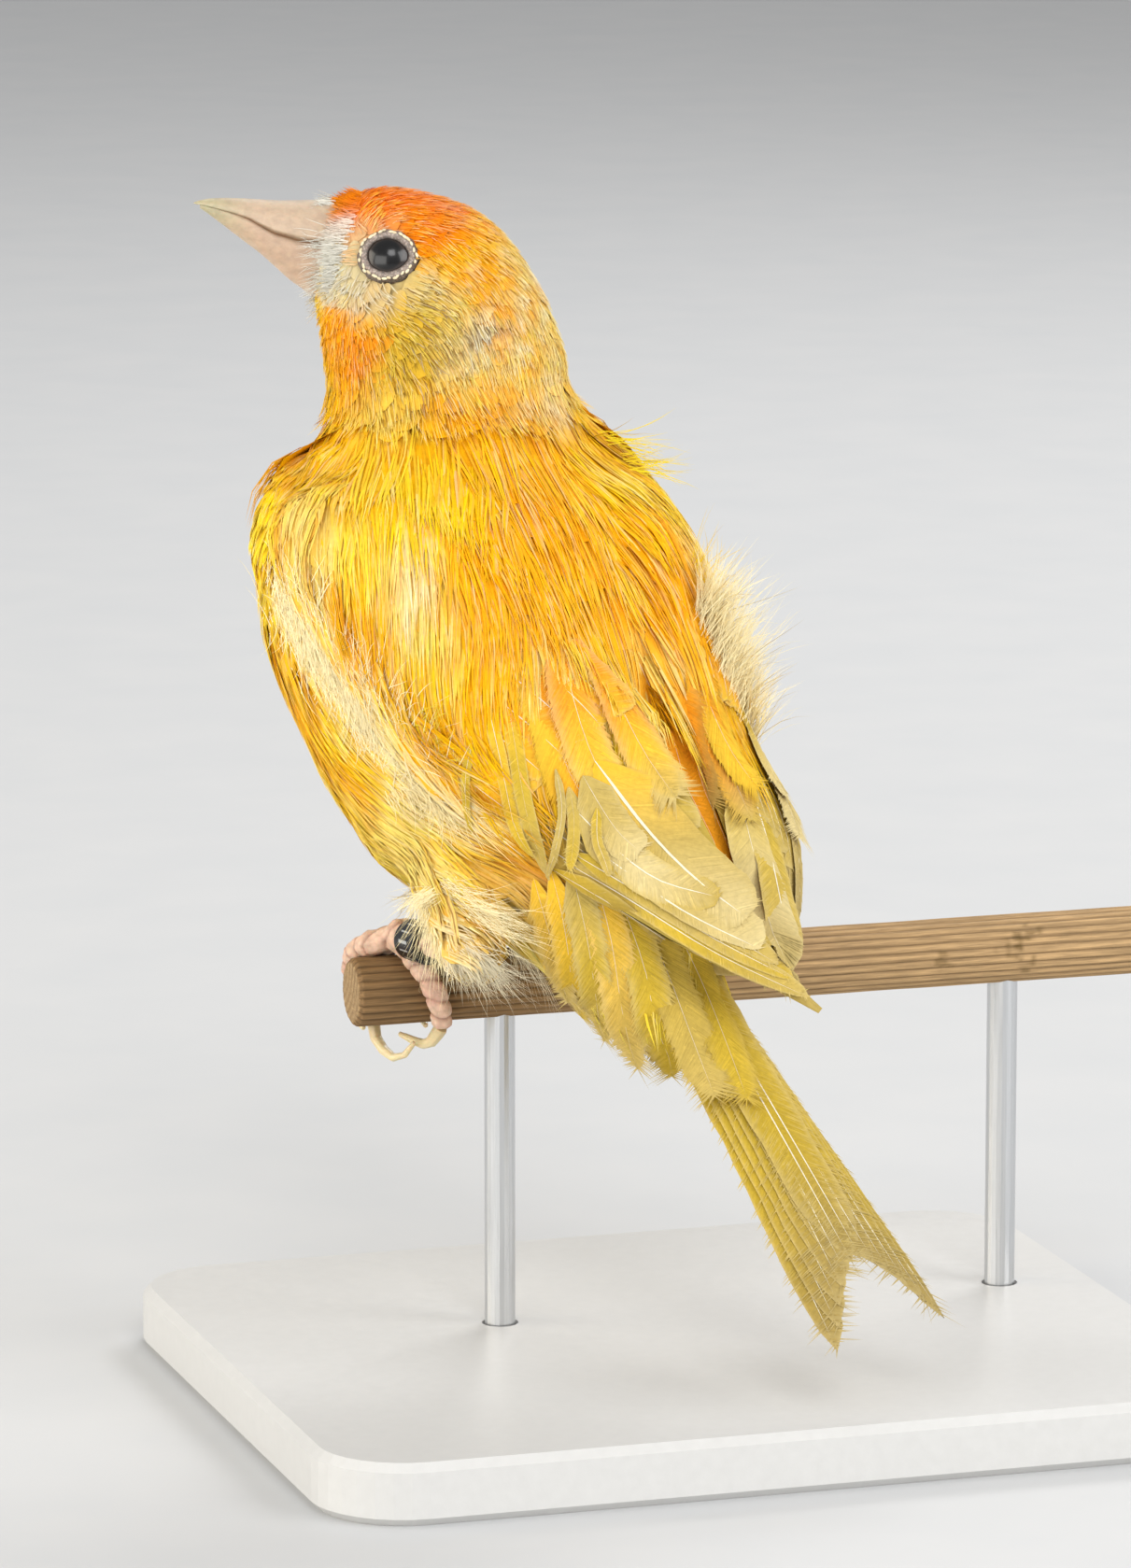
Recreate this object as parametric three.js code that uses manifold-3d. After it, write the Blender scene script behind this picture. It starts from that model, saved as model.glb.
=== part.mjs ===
// A canary perched on a ribbed wooden dowel that a plain display stand holds: a still, life-size model.
// Millimetres, +Z up. Everything is shaped with the perch's axis above the X axis, and each mesh is then
// moved, so that the origin is the middle of the stand's underside.
// The bird faces away over the perch towards -Y, and its head is turned to its left, towards +X.
import * as THREE from "three";
import { mergeVertices } from "three/addons/utils/BufferGeometryUtils.js";
import Module from "manifold-3d";

// Driving dimensions
const GAP = 0.3; // clearance between neighbouring pieces
const PERCH = {
  radius: 3.35,
  height: 40, // of its axis
  left: 25,
  right: -64,
  flutes: 24,
  fluteDepth: 0.16,
  chamfer: 0.5,
};
const BASE = { length: 92, width: 78, height: 6, corner: 9, chamfer: 0.8, centre: [-6, 8] };
const ROD = { radius: 1.5, xs: [10, -42], sink: 2.5 };

// The trunk's frame: x to the bird's left, y rearward along the spine, z dorsal
const TRUNK = { centre: [8, -5, 71], yaw: 16.5, pitch: 54 };
// The head's frame: x to the bird's left, y rearward, z up
const HEAD = { centre: [11.9, -13, 104.2], yaw: 72.5, pitch: 0 };

// The feathered body is a smooth union of these rounded masses, each placed in its own frame
const HEAD_BLEND = 3.5;
const TRUNK_BLEND = 8;
const HEAD_MASSES = {
  cranium: { at: [0, -1.6, 0.4], radii: [9.6, 10.2, 10.4] },
  forehead: { at: [0, -5.6, 5.2], radii: [6.2, 5.4, 6.1] },
  lores: { at: [0, -7.1, 4.4], radii: [4.6, 3.4, 5.4] },
  cheek_left: { at: [4.6, -2.9, -2.5], radii: [4.8, 6, 6.6] },
  cheek_right: { at: [-4.6, -2.9, -2.5], radii: [4.8, 6, 6.6] },
  throat: { at: [0, -4.2, -6.5], radii: [6.4, 6.3, 8] },
  nape: { at: [0, 1.7, -7.2], radii: [9.4, 10.8, 12.2] },
};
const TRUNK_MASSES = {
  shoulders: { at: [0.6, -17.5, 0], radii: [17.5, 8.5, 12] },
  breast: { at: [0.8, -7.5, -2.6], radii: [20.5, 16.3, 16.6] },
  back: { at: [-0.4, 2, 3], radii: [18.2, 18.5, 13] },
  belly: { at: [0.4, 8, -5], radii: [17.8, 17.5, 13] },
  rump: { at: [-1.6, 21, 0.6], radii: [11, 13, 8] },
  vent: { at: [-3, 31, -0.6], radii: [6.5, 13.5, 5] },
};
// Rays that find the body's surface start on this line: the head's centre, the neck, then the trunk
const SPINE_IN_HEAD = [[0, 0, 0], [0, 0, -10]];
const SPINE_IN_TRUNK = [[0, -14, 1], [0, 0, 0], [0, 14, -1], [-2.6, 29, -1]];
const BODY_SIDES = 26;
const BODY_ROWS = 34;
const NECK_SHARES = [0.1, 0.2]; // shares of that line where the head ends and the trunk starts

const EYE = { radius: 2.9, at: [6, -4.8, 5.5] };
const BILL = {
  base: [0, -9.8, 5.4],
  length: 13.4,
  width: 7.4,
  sunk: 1.5, // how far its base starts inside the face
  tipRadius: 0.12,
  overhang: 0.7, // how far the upper half reaches past the lower
};

const WING = {
  thickness: 2, // at the shoulder
  tipThickness: 0.9,
  edgeShare: 0.65, // thickness along the long edges, as a share of the middle's
  bulge: 0.6,
  roundEnd: 0.1, // share of the length over which the shoulder end is rounded off
  rows: 16,
  columns: 6,
};
// Stations from the shoulder to the tip along each folded wing's two long edges, in the trunk's frame
const WING_LEFT = {
  leading: [
    [18.5, -18, -2], [20.4, -7.4, 2], [17.3, 4.4, 3.4], [12.3, 16, 4.5],
    [7.4, 24.8, 6.2], [-0.5, 37, 10.5], [-11, 46, 12.3],
  ],
  trailing: [
    [11, -16.5, 10.7], [5.6, -2.9, 15.8], [1, 7.6, 15.3], [-3.5, 16, 14],
    [-5.5, 25, 13], [-8, 36, 12.6], [-12, 45.2, 12.1],
  ],
};
const WING_RIGHT = {
  leading: [
    [-17.5, -18, -2], [-20.5, -6, 0], [-21, 6, 1.5], [-20.5, 18, 5],
    [-19.5, 26, 7.5], [-16.5, 33.7, 7.5], [-13, 39.5, 7.8],
  ],
  trailing: [
    [-8, -14, 11.2], [-6.6, -2.5, 15.2], [-6.2, 7.7, 15], [-7, 17, 14],
    [-8, 25, 12.2], [-10, 33, 10.4], [-12.4, 39.3, 8.4],
  ],
};

// The tail's turn is told from the trunk's
const TAIL = {
  root: [-4, 25, 1],
  yaw: 6,
  pitch: -9,
  length: 51.5,
  rootWidth: 8,
  tipWidth: 18,
  notch: 6,
  lobeAt: 0.62, // share of the half-width where each side of the end is longest
  roof: 1.6, // how far the edges lie below the middle at the end
  rootThickness: 3.2,
  thickness: 1.5,
};

const LEG = {
  length: 15.5,
  rise: 0.05,
  hockRadius: 1.9,
  tarsusRadius: 1,
  toeRadius: 1.15,
  clawRadius: 0.7,
  clawTip: 0.22,
  jointRadius: 1.7, // of the ball where the toes meet
  jointAngle: 12, // degrees behind the perch's top
  jointHeight: 2.3,
};
const THIGH = { from: [8, 10, -5], topRadius: 7, endRadius: 2.3, pastHock: 1 };
const FOOT_LEFT = { x: 20.2, heading: 9, side: 1 };
const FOOT_RIGHT = { x: -8, heading: 12, side: -1 };
const LEG_RING = { inner: 1.45, outer: 2, length: 4, bevel: 0.12, fromJoint: 4.3 };
const FIT = 0.1; // clearance under a toe, and round the ring where a toe bends past it

const wasm = await Module();
wasm.setup();

const vec = (p) => new THREE.Vector3(...p);
const mix = THREE.MathUtils.lerp;
const radians = THREE.MathUtils.degToRad;
const turnTo = (from, to) => new THREE.Quaternion().setFromUnitVectors(from, to.clone().normalize());

// The matrix of a frame whose forward direction, -y, is turned left by yaw and raised by pitch
function frameOf({ centre, yaw, pitch }) {
  const turn = new THREE.Euler(-radians(pitch), 0, radians(yaw), "ZYX");
  return new THREE.Matrix4().makeRotationFromEuler(turn).setPosition(vec(centre));
}
const headFrame = frameOf(HEAD);
const trunkFrame = frameOf(TRUNK);
const inHead = (p) => vec(p).applyMatrix4(headFrame);
const inTrunk = (p) => vec(p).applyMatrix4(trunkFrame);

// A closed mesh as a solid, turned to face outwards
function solidOf(geometry) {
  const bare = geometry.clone();
  bare.deleteAttribute("normal");
  bare.deleteAttribute("uv");
  const merged = mergeVertices(bare, 1e-3);
  const triVerts = new Uint32Array(merged.index.array);
  const vertProperties = new Float32Array(merged.attributes.position.array);
  const make = () => new wasm.Manifold(new wasm.Mesh({ numProp: 3, vertProperties, triVerts }));
  const made = make();
  if (made.volume() > 0) return made;
  for (let i = 0; i < triVerts.length; i += 3) {
    [triVerts[i + 1], triVerts[i + 2]] = [triVerts[i + 2], triVerts[i + 1]];
  }
  return make();
}

function geometryOf(solid) {
  const mesh = solid.getMesh();
  const geometry = new THREE.BufferGeometry();
  geometry.setAttribute("position", new THREE.BufferAttribute(new Float32Array(mesh.vertProperties), 3));
  geometry.setIndex(new THREE.BufferAttribute(new Uint32Array(mesh.triVerts), 1));
  geometry.computeVertexNormals();
  return geometry;
}

// The largest body of a solid, without the slivers that a cut can leave
function largest(solid) {
  return solid.decompose().reduce((a, b) => (b.volume() > a.volume() ? b : a));
}

// A closed tube of rings: ring(t, angle) gives a point for t from 0 to 1, and each end is closed by a fan
function ringSolid(ring, rows, sides) {
  const geometry = new THREE.CylinderGeometry(1, 1, 1, sides, rows);
  const at = geometry.attributes.position;
  const centre = (t) => {
    const sum = new THREE.Vector3();
    for (let k = 0; k < sides; k++) sum.add(ring(t, (k / sides) * 2 * Math.PI));
    return sum.divideScalar(sides);
  };
  for (let i = 0; i < at.count; i++) {
    const t = 0.5 - at.getY(i);
    const onAxis = Math.hypot(at.getX(i), at.getZ(i)) < 0.5;
    const p = onAxis ? centre(t) : ring(t, Math.atan2(at.getX(i), at.getZ(i)));
    at.setXYZ(i, p.x, p.y, p.z);
  }
  return solidOf(geometry);
}

// A thin plate: point(u, w, side) gives a point for u and w from 0 to 1 and side 0 (under) or 1 (over)
function plateSolid(point, rows, columns) {
  const geometry = new THREE.BoxGeometry(1, 1, 1, rows, columns, 1);
  const at = geometry.attributes.position;
  for (let i = 0; i < at.count; i++) {
    const p = point(at.getX(i) + 0.5, at.getY(i) + 0.5, at.getZ(i) + 0.5);
    at.setXYZ(i, p.x, p.y, p.z);
  }
  return solidOf(geometry);
}

// A tapered tube along a curve
function sweepSolid(curve, radius, rows, sides) {
  const frames = curve.computeFrenetFrames(rows, false);
  const ring = (t, angle) => {
    const k = Math.min(rows, Math.round(t * rows));
    const out = frames.normals[k].clone().multiplyScalar(Math.cos(angle));
    out.addScaledVector(frames.binormals[k], Math.sin(angle));
    return curve.getPointAt(t).addScaledVector(out, radius(t));
  };
  return ringSolid(ring, rows, sides);
}

// The feathered body's surface

const massList = (masses) => Object.values(masses).map((m) => ({ centre: vec(m.at), size: vec(m.radii) }));
const headMasses = massList(HEAD_MASSES);
const trunkMasses = massList(TRUNK_MASSES);
const headInverse = headFrame.clone().invert();
const trunkInverse = trunkFrame.clone().invert();

// Two distances joined with a rounding of the given width
function blend(a, b, width) {
  const h = Math.max(width - Math.abs(a - b), 0) / width;
  return Math.min(a, b) - (h * h * width) / 4;
}

// Rough distance from a point to the smooth union of ellipsoids, less than 0 inside
function massDistance(p, list, width) {
  const distances = list.map(({ centre, size }) => {
    const q = p.clone().sub(centre).divide(size);
    const slope = q.clone().divide(size).length();
    return slope > 1e-9 ? (q.length() * (q.length() - 1)) / slope : -size.x;
  });
  return distances.reduce((a, b) => blend(a, b, width));
}

function bodyDistance(p) {
  const toHead = massDistance(p.clone().applyMatrix4(headInverse), headMasses, HEAD_BLEND);
  const toTrunk = massDistance(p.clone().applyMatrix4(trunkInverse), trunkMasses, TRUNK_BLEND);
  return blend(toHead, toTrunk, HEAD_BLEND);
}

// The first point where a ray that comes in towards origin meets the surface grown by a margin
function surfaceAlong(origin, direction, margin) {
  const REACH = 40;
  let t = REACH;
  for (let i = 0; i < 80; i++) {
    const d = bodyDistance(origin.clone().addScaledVector(direction, t)) - margin;
    if (d < 0.005) break;
    t = Math.max(0.5, t - 0.8 * d);
  }
  return origin.clone().addScaledVector(direction, t);
}

const spine = new THREE.CatmullRomCurve3([...SPINE_IN_HEAD.map(inHead), ...SPINE_IN_TRUNK.map(inTrunk)]);
const leftOfBody = inTrunk([1, 0, 0]).sub(inTrunk([0, 0, 0]));

// A ring of the body: s from -1 to 0 is the crown's dome, 0 to 1 the spine, and 1 to 2 the rear end's dome
function bodyRing(s, angle, margin) {
  const onSpine = THREE.MathUtils.clamp(s, 0, 1);
  const origin = spine.getPointAt(onSpine);
  const along = spine.getTangentAt(onSpine);
  const side = leftOfBody.clone().addScaledVector(along, -leftOfBody.dot(along)).normalize();
  const front = new THREE.Vector3().crossVectors(along, side);
  const lean = ((s - onSpine) * Math.PI) / 2;
  const direction = side.multiplyScalar(Math.cos(angle)).addScaledVector(front, Math.sin(angle));
  direction.multiplyScalar(Math.cos(lean)).addScaledVector(along, Math.sin(lean));
  return surfaceAlong(origin, direction, margin);
}

const POLE = 0.985; // the domes stop just short of their poles, in a tiny flat
function bodySolid(margin) {
  const ring = (t, angle) => bodyRing(mix(-POLE, 1 + POLE, t), angle, margin);
  return ringSolid(ring, BODY_ROWS, BODY_SIDES);
}

const whole = bodySolid(0);
const wholeGrown = bodySolid(GAP);

// The body without a thin slab across the spine at each end of the neck: the head, the neck and the trunk
function cutBody() {
  const SLAB = 70;
  const cuts = NECK_SHARES.map((share) => {
    const turn = turnTo(vec([0, 0, 1]), spine.getTangentAt(share));
    const slab = new THREE.BoxGeometry(SLAB, SLAB, GAP).applyQuaternion(turn);
    return solidOf(slab.translate(...spine.getPointAt(share).toArray()));
  });
  const pieces = cuts.reduce((made, cut) => made.subtract(cut), whole).decompose();
  return pieces.sort((a, b) => b.boundingBox().max[2] - a.boundingBox().max[2]);
}

function eyeBall(side, margin) {
  const ball = new THREE.SphereGeometry(EYE.radius + margin, 12, 8);
  const [x, y, z] = EYE.at;
  return solidOf(ball.translate(...inHead([side * x, y, z]).toArray()));
}

// The bill, in the head's frame. Each half is a tapering cone, flat where it meets the other half.

const billPoint = (x, y, z) => inHead([BILL.base[0] + x, BILL.base[1] + y, BILL.base[2] + z]);

// Heights above the bill's base point, for t from the base (0) to the tip (1)
const culmen = (t) => 5.1 - 0.25 * t ** 8;
const gape = (t) => -3 + 7.7 * t + 0.85 * Math.sin(Math.PI * t);
const gonys = (t) => mix(-7.7, 4.2, t ** 0.97);
const billWidth = (t) => (BILL.width / 2) * (1 - t) ** 0.85 + BILL.tipRadius;

function billHalf(outer, inner, reach) {
  const ring = (t, angle) => {
    const s = t * (reach / BILL.length);
    const across = Math.cos(angle) * billWidth(s);
    const lift = Math.max(0, Math.sin(angle)) ** 0.9;
    return billPoint(across, mix(BILL.sunk, -reach, t), mix(inner(s), outer(s), lift));
  };
  return ringSolid(ring, 10, 14);
}

function makeBill() {
  const upper = billHalf(culmen, (t) => gape(t) + GAP / 2, BILL.length);
  const lower = billHalf(gonys, (t) => gape(t) - GAP / 2, BILL.length - BILL.overhang);
  return [largest(upper.subtract(wholeGrown)), largest(lower.subtract(wholeGrown))];
}

// A folded wing: a thin plate between its leading and trailing edges, laid onto the body where it meets it
function wingSolid(edges, margin) {
  const BEHIND_TRUNK = [-4, 50, -6];
  const leading = new THREE.CatmullRomCurve3(edges.leading.map(inTrunk));
  const trailing = new THREE.CatmullRomCurve3(edges.trailing.map(inTrunk));
  const axis = new THREE.CatmullRomCurve3([...SPINE_IN_TRUNK, BEHIND_TRUNK].map(inTrunk));
  const point = (u, w, side) => {
    const end = Math.max(0, 1 - u / WING.roundEnd);
    const across = 0.5 + (w - 0.5) * Math.sqrt(1 - 0.9 * end * end);
    const p = leading.getPoint(u).lerp(trailing.getPoint(u), across);
    const from = axis.getPoint(u);
    const out = p.clone().sub(from).normalize();
    const onBody = surfaceAlong(from, out, GAP + FIT).distanceTo(from);
    const laid = -blend(-onBody, -p.distanceTo(from), WING.thickness);
    const lens = Math.sqrt(Math.max(0, 1 - (2 * w - 1) ** 2));
    const shoulder = mix(0.6, 1, Math.min(1, 6 * u));
    const thick = mix(WING.thickness, WING.tipThickness, u) * mix(WING.edgeShare, 1, lens) * shoulder;
    const over = side * (thick + 2 * margin) - margin;
    return from.addScaledVector(out, laid + WING.bulge * lens + over);
  };
  return plateSolid(point, WING.rows, WING.columns);
}

// How far the tail's end reaches past its notch, from 0 to 1: a lobe on each side
function tailLobe(across) {
  const a = Math.abs(across);
  const { lobeAt } = TAIL;
  return a < lobeAt ? (a / lobeAt) ** 1.5 : 1 - ((a - lobeAt) / (1 - lobeAt)) ** 2;
}

// The tail: one plate of overlapping feathers, a little roof-shaped, with a notched end
function tailSolid(margin) {
  const root = inTrunk(TAIL.root);
  const turned = { yaw: TRUNK.yaw + TAIL.yaw, pitch: TRUNK.pitch + TAIL.pitch };
  const tailFrame = frameOf({ centre: root.toArray(), ...turned });
  const point = (u, w, side) => {
    const across = 2 * w - 1;
    const width = mix(TAIL.rootWidth, TAIL.tipWidth, u ** 1.3) / 2;
    const length = u * (TAIL.length - TAIL.notch * (1 - tailLobe(across)));
    const roof = -TAIL.roof * across * across * u;
    const edge = 1 - 0.6 * across * across;
    const half = (edge * mix(TAIL.rootThickness, TAIL.thickness, Math.min(1, 2 * u))) / 2;
    const z = roof + (2 * side - 1) * (half + margin);
    return vec([across * width, length, z]).applyMatrix4(tailFrame);
  };
  return plateSolid(point, 12, 8);
}

// Legs and feet. Round the perch, an angle of 0 is on top and 90 on the rear side, +Y.

function aroundPerch(x, angle, outward) {
  const reach = PERCH.radius + outward;
  const a = radians(angle);
  return new THREE.Vector3(x, reach * Math.sin(a), PERCH.height + reach * Math.cos(a));
}

// Toe paths as stations: offset towards the outer side, angle round the perch, height off its surface.
// Digit 1 points back, and digit 4 lies outwards along the perch.
const TOES = [
  {
    digit: 1,
    toe: [[0, 8, 1.8], [-0.9, 40, 1.25], [-2, 72, 1.2], [-2.8, 100, 1.25], [-3.2, 128, 1.4]],
    claw: [[-3.2, 132, 1.5], [-2.2, 156, 2.2], [-0.2, 186, 1.2]],
  },
  {
    digit: 2,
    toe: [[-0.6, 0, 1.8], [-2, -40, 1.2], [-3, -85, 1.2]],
    claw: [[-3.1, -90, 1.3], [-3.3, -125, 2.1], [-3.2, -160, 1.1]],
  },
  {
    digit: 3,
    toe: [[0.2, -2, 1.8], [0.9, -50, 1.2], [1.5, -110, 1.2]],
    claw: [[1.5, -115, 1.3], [1.3, -150, 3.1], [0.2, -186, 3.4], [-0.9, -205, 2]],
  },
  {
    digit: 4,
    toe: [[0.7, 2, 1.9], [2.4, -10, 1.25], [3.4, -42, 1.15], [3.5, -80, 1.15]],
    claw: [[3.5, -86, 1.2], [3.4, -122, 2], [3, -156, 1.1]],
  },
];

function toePath(foot, stations) {
  return new THREE.CatmullRomCurve3(
    stations.map(([offset, angle, height]) => aroundPerch(foot.x + foot.side * offset, angle, height)),
  );
}

// A toe's pads: a wavy radius that closes at the toe's end
const toeRadius = (t) => LEG.toeRadius * (1 + 0.07 * Math.sin(t * 22)) * mix(1.1, 0.85, t);
const clawRadius = (t) => mix(LEG.clawRadius, LEG.clawTip, t ** 1.2);

// The line of the bare leg, from the toes' joint to the hock
function legLine(foot) {
  const joint = aroundPerch(foot.x, LEG.jointAngle, LEG.jointHeight);
  const a = radians(foot.heading);
  const back = new THREE.Vector3(-Math.sin(a), Math.cos(a), LEG.rise);
  return { joint, back, hock: joint.clone().addScaledVector(back, LEG.length) };
}

// A plain cylinder along the leg, from one distance to another
function legCylinder(foot, radius, from, to) {
  const { joint, back } = legLine(foot);
  const cylinder = new THREE.CylinderGeometry(radius, radius, to - from, 28);
  cylinder.applyQuaternion(turnTo(vec([0, 1, 0]), back));
  return solidOf(cylinder.translate(...joint.clone().addScaledVector(back, (from + to) / 2).toArray()));
}

// The perch as a plain cylinder, a little larger, which hollows the undersides of the toes
function makePerchRound() {
  const radius = PERCH.radius + FIT;
  const cylinder = new THREE.CylinderGeometry(radius, radius, 3 * PERCH.left, 36);
  return solidOf(cylinder.rotateZ(Math.PI / 2).translate(0, 0, PERCH.height));
}
const perchRound = makePerchRound();

function footSolid(foot, margin) {
  const { joint } = legLine(foot);
  const ball = new THREE.SphereGeometry(LEG.jointRadius + margin, 10, 7).translate(...joint.toArray());
  const toes = TOES.map(({ toe }) => sweepSolid(toePath(foot, toe), (t) => toeRadius(t) + margin, 6, 7));
  return toes.reduce((made, toe) => made.add(toe), solidOf(ball));
}

function legSolid(foot, margin) {
  const { joint, back, hock } = legLine(foot);
  const start = joint.clone().addScaledVector(back, LEG.jointRadius + GAP - margin);
  const flare = (t) => THREE.MathUtils.smoothstep(t, 0.7, 1);
  const radius = (t) => margin + mix(LEG.tarsusRadius, LEG.hockRadius, flare(t));
  return sweepSolid(new THREE.LineCurve3(start, hock), radius, 5, 9);
}

// The feathered thigh runs from inside the body to just past the hock
function thighSolid(foot, margin) {
  const { hock } = legLine(foot);
  const [x, y, z] = THIGH.from;
  const start = inTrunk([foot.side * x, y, z]);
  const end = hock.clone().addScaledVector(hock.clone().sub(start).normalize(), THIGH.pastHock + margin);
  const radius = (t) => margin + mix(THIGH.topRadius, THIGH.endRadius, t ** 0.9);
  return sweepSolid(new THREE.LineCurve3(start, end), radius, 6, 12);
}

function legRing(foot) {
  const { joint, back } = legLine(foot);
  const { inner, outer, bevel } = LEG_RING;
  const half = LEG_RING.length / 2;
  const profile = [
    [inner, -half], [outer - bevel, -half], [outer, bevel - half],
    [outer, half - bevel], [outer - bevel, half], [inner, half], [inner, -half],
  ].map((p) => new THREE.Vector2(...p));
  const ring = new THREE.LatheGeometry(profile, 22).applyQuaternion(turnTo(vec([0, 1, 0]), back));
  return solidOf(ring.translate(...joint.clone().addScaledVector(back, LEG_RING.fromJoint).toArray()));
}

// The perch and the stand

const rodHole = (x, from, to, margin) => {
  const rod = new THREE.CylinderGeometry(ROD.radius + margin, ROD.radius + margin, to - from, 20);
  return solidOf(rod.rotateX(Math.PI / 2).translate(x, 0, (from + to) / 2));
};
const rodFrom = BASE.height - ROD.sink;
const rodTo = PERCH.height - PERCH.radius + ROD.sink;

// An outline extruded by depth, with a chamfer that stands outside the outline at both ends
function extruded(shape, depth, chamfer) {
  const bevel = { bevelThickness: chamfer, bevelSize: chamfer, bevelSegments: 1 };
  return new THREE.ExtrudeGeometry(shape, { depth, steps: 1, curveSegments: 4, ...bevel });
}

function makePerch() {
  const outline = [];
  const points = PERCH.flutes * 2;
  for (let k = 0; k < points; k++) {
    const a = (k / points) * 2 * Math.PI;
    const r = PERCH.radius - PERCH.fluteDepth * (k % 2) - PERCH.chamfer;
    outline.push(new THREE.Vector2(r * Math.cos(a), r * Math.sin(a)));
  }
  const length = PERCH.left - PERCH.right - 2 * PERCH.chamfer;
  const dowel = extruded(new THREE.Shape(outline), length, PERCH.chamfer);
  dowel.rotateY(Math.PI / 2).translate(PERCH.right + PERCH.chamfer, 0, PERCH.height);
  return ROD.xs.reduce(
    (made, x) => made.subtract(rodHole(x, rodFrom, rodTo + GAP, GAP)),
    solidOf(dowel),
  );
}

function makeBase() {
  const { length, width, corner, chamfer } = BASE;
  const x = length / 2 - chamfer;
  const y = width / 2 - chamfer;
  const c = corner - chamfer;
  const shape = new THREE.Shape();
  shape.moveTo(-x + c, -y);
  shape.lineTo(x - c, -y);
  shape.absarc(x - c, -y + c, c, -Math.PI / 2, 0);
  shape.lineTo(x, y - c);
  shape.absarc(x - c, y - c, c, 0, Math.PI / 2);
  shape.lineTo(-x + c, y);
  shape.absarc(-x + c, y - c, c, Math.PI / 2, Math.PI);
  shape.lineTo(-x, -y + c);
  shape.absarc(-x + c, -y + c, c, Math.PI, 1.5 * Math.PI);
  const depth = BASE.height - 2 * chamfer;
  const slab = extruded(shape, depth, chamfer).translate(...BASE.centre, chamfer);
  return ROD.xs.reduce(
    (made, rodX) => made.subtract(rodHole(rodX, rodFrom - GAP, BASE.height + 1, GAP)),
    solidOf(slab),
  );
}

// The scene graph

const LOOKS = {
  feather: { color: 0xf5b52a, roughness: 0.85 },
  flight: { color: 0xe9d36a, roughness: 0.8 },
  bill: { color: 0xdcc3b0, roughness: 0.45 },
  eye: { color: 0x0d0c0c, roughness: 0.08 },
  leg: { color: 0xd9a594, roughness: 0.6 },
  claw: { color: 0xd8c7a2, roughness: 0.45 },
  ring: { color: 0x1a1d20, roughness: 0.35, metalness: 0.6 },
  perch: { color: 0xa67f55, roughness: 0.9 },
  stand_base: { color: 0xe8e6e1, roughness: 0.5 },
  stand_rod: { color: 0xb9bbbd, roughness: 0.3, metalness: 1 },
};

const model = new THREE.Group();
function addPiece(name, look, solid) {
  const geometry = geometryOf(solid).translate(-BASE.centre[0], -BASE.centre[1], 0);
  const mesh = new THREE.Mesh(geometry, new THREE.MeshStandardMaterial(LOOKS[look]));
  mesh.name = name;
  model.add(mesh);
}

const [head, neck, trunk] = cutBody();
addPiece("head", "feather", head.subtract(eyeBall(1, GAP)).subtract(eyeBall(-1, GAP)));
addPiece("neck", "feather", neck);

const [billUpper, billLower] = makeBill();
addPiece("bill_upper", "bill", billUpper);
addPiece("bill_lower", "bill", billLower);
for (const [name, side] of [["left", 1], ["right", -1]]) addPiece(`eye_${name}`, "eye", eyeBall(side, 0));

const feetGrown = footSolid(FOOT_LEFT, GAP).add(footSolid(FOOT_RIGHT, GAP));
addPiece("trunk", "feather", largest(trunk.subtract(feetGrown)));
const wingLeft = wingSolid(WING_LEFT, 0).subtract(wholeGrown);
const wingRight = wingSolid(WING_RIGHT, 0).subtract(wholeGrown).subtract(wingSolid(WING_LEFT, GAP));
addPiece("wing_left", "flight", largest(wingLeft));
addPiece("wing_right", "flight", largest(wingRight));
const wingsGrown = wingSolid(WING_LEFT, GAP).add(wingSolid(WING_RIGHT, GAP));
addPiece("tail", "flight", largest(tailSolid(0).subtract(wholeGrown).subtract(wingsGrown)));

const bodyAndTail = wholeGrown.add(tailSolid(GAP));
const ringFrom = LEG_RING.fromJoint - LEG_RING.length / 2 - FIT;
const ringTo = LEG_RING.fromJoint + LEG_RING.length / 2 + FIT;
for (const [name, foot] of [["left", FOOT_LEFT], ["right", FOOT_RIGHT]]) {
  const thigh = thighSolid(foot, 0).subtract(bodyAndTail).subtract(feetGrown);
  addPiece(`thigh_${name}`, "feather", largest(thigh));
  const leg = legSolid(foot, 0).subtract(thighSolid(foot, GAP)).subtract(bodyAndTail);
  addPiece(`leg_${name}`, "leg", largest(leg));
  const ringSpace = legCylinder(foot, LEG_RING.outer + FIT, ringFrom, ringTo);
  const toes = footSolid(foot, 0).subtract(perchRound).subtract(legSolid(foot, GAP)).subtract(ringSpace);
  addPiece(`foot_${name}`, "leg", largest(toes));
  for (const { digit, claw } of TOES) {
    const hook = sweepSolid(toePath(foot, claw), clawRadius, 6, 7);
    const clear = hook.subtract(footSolid(foot, GAP)).subtract(perchRound);
    addPiece(`claw_${name}_${digit}`, "claw", largest(clear));
  }
}
addPiece("leg_ring", "ring", legRing(FOOT_LEFT));

addPiece("perch", "perch", makePerch());
addPiece("stand_base", "stand_base", makeBase());
ROD.xs.forEach((x, i) => addPiece(`stand_rod_${i + 1}`, "stand_rod", rodHole(x, rodFrom, rodTo, 0)));

export default model;
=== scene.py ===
"""The looks of a canary that sits on a ribbed perch: skin, plumage, bill, eyes, feet, perch and stand.

Shapes are worked out in millimetres in the row frame, and add_piece() turns them to metres.
"""
import math

import bpy
import numpy as np
from mathutils import Matrix, Vector
from mathutils.bvhtree import BVHTree
from mathutils.kdtree import KDTree


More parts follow.
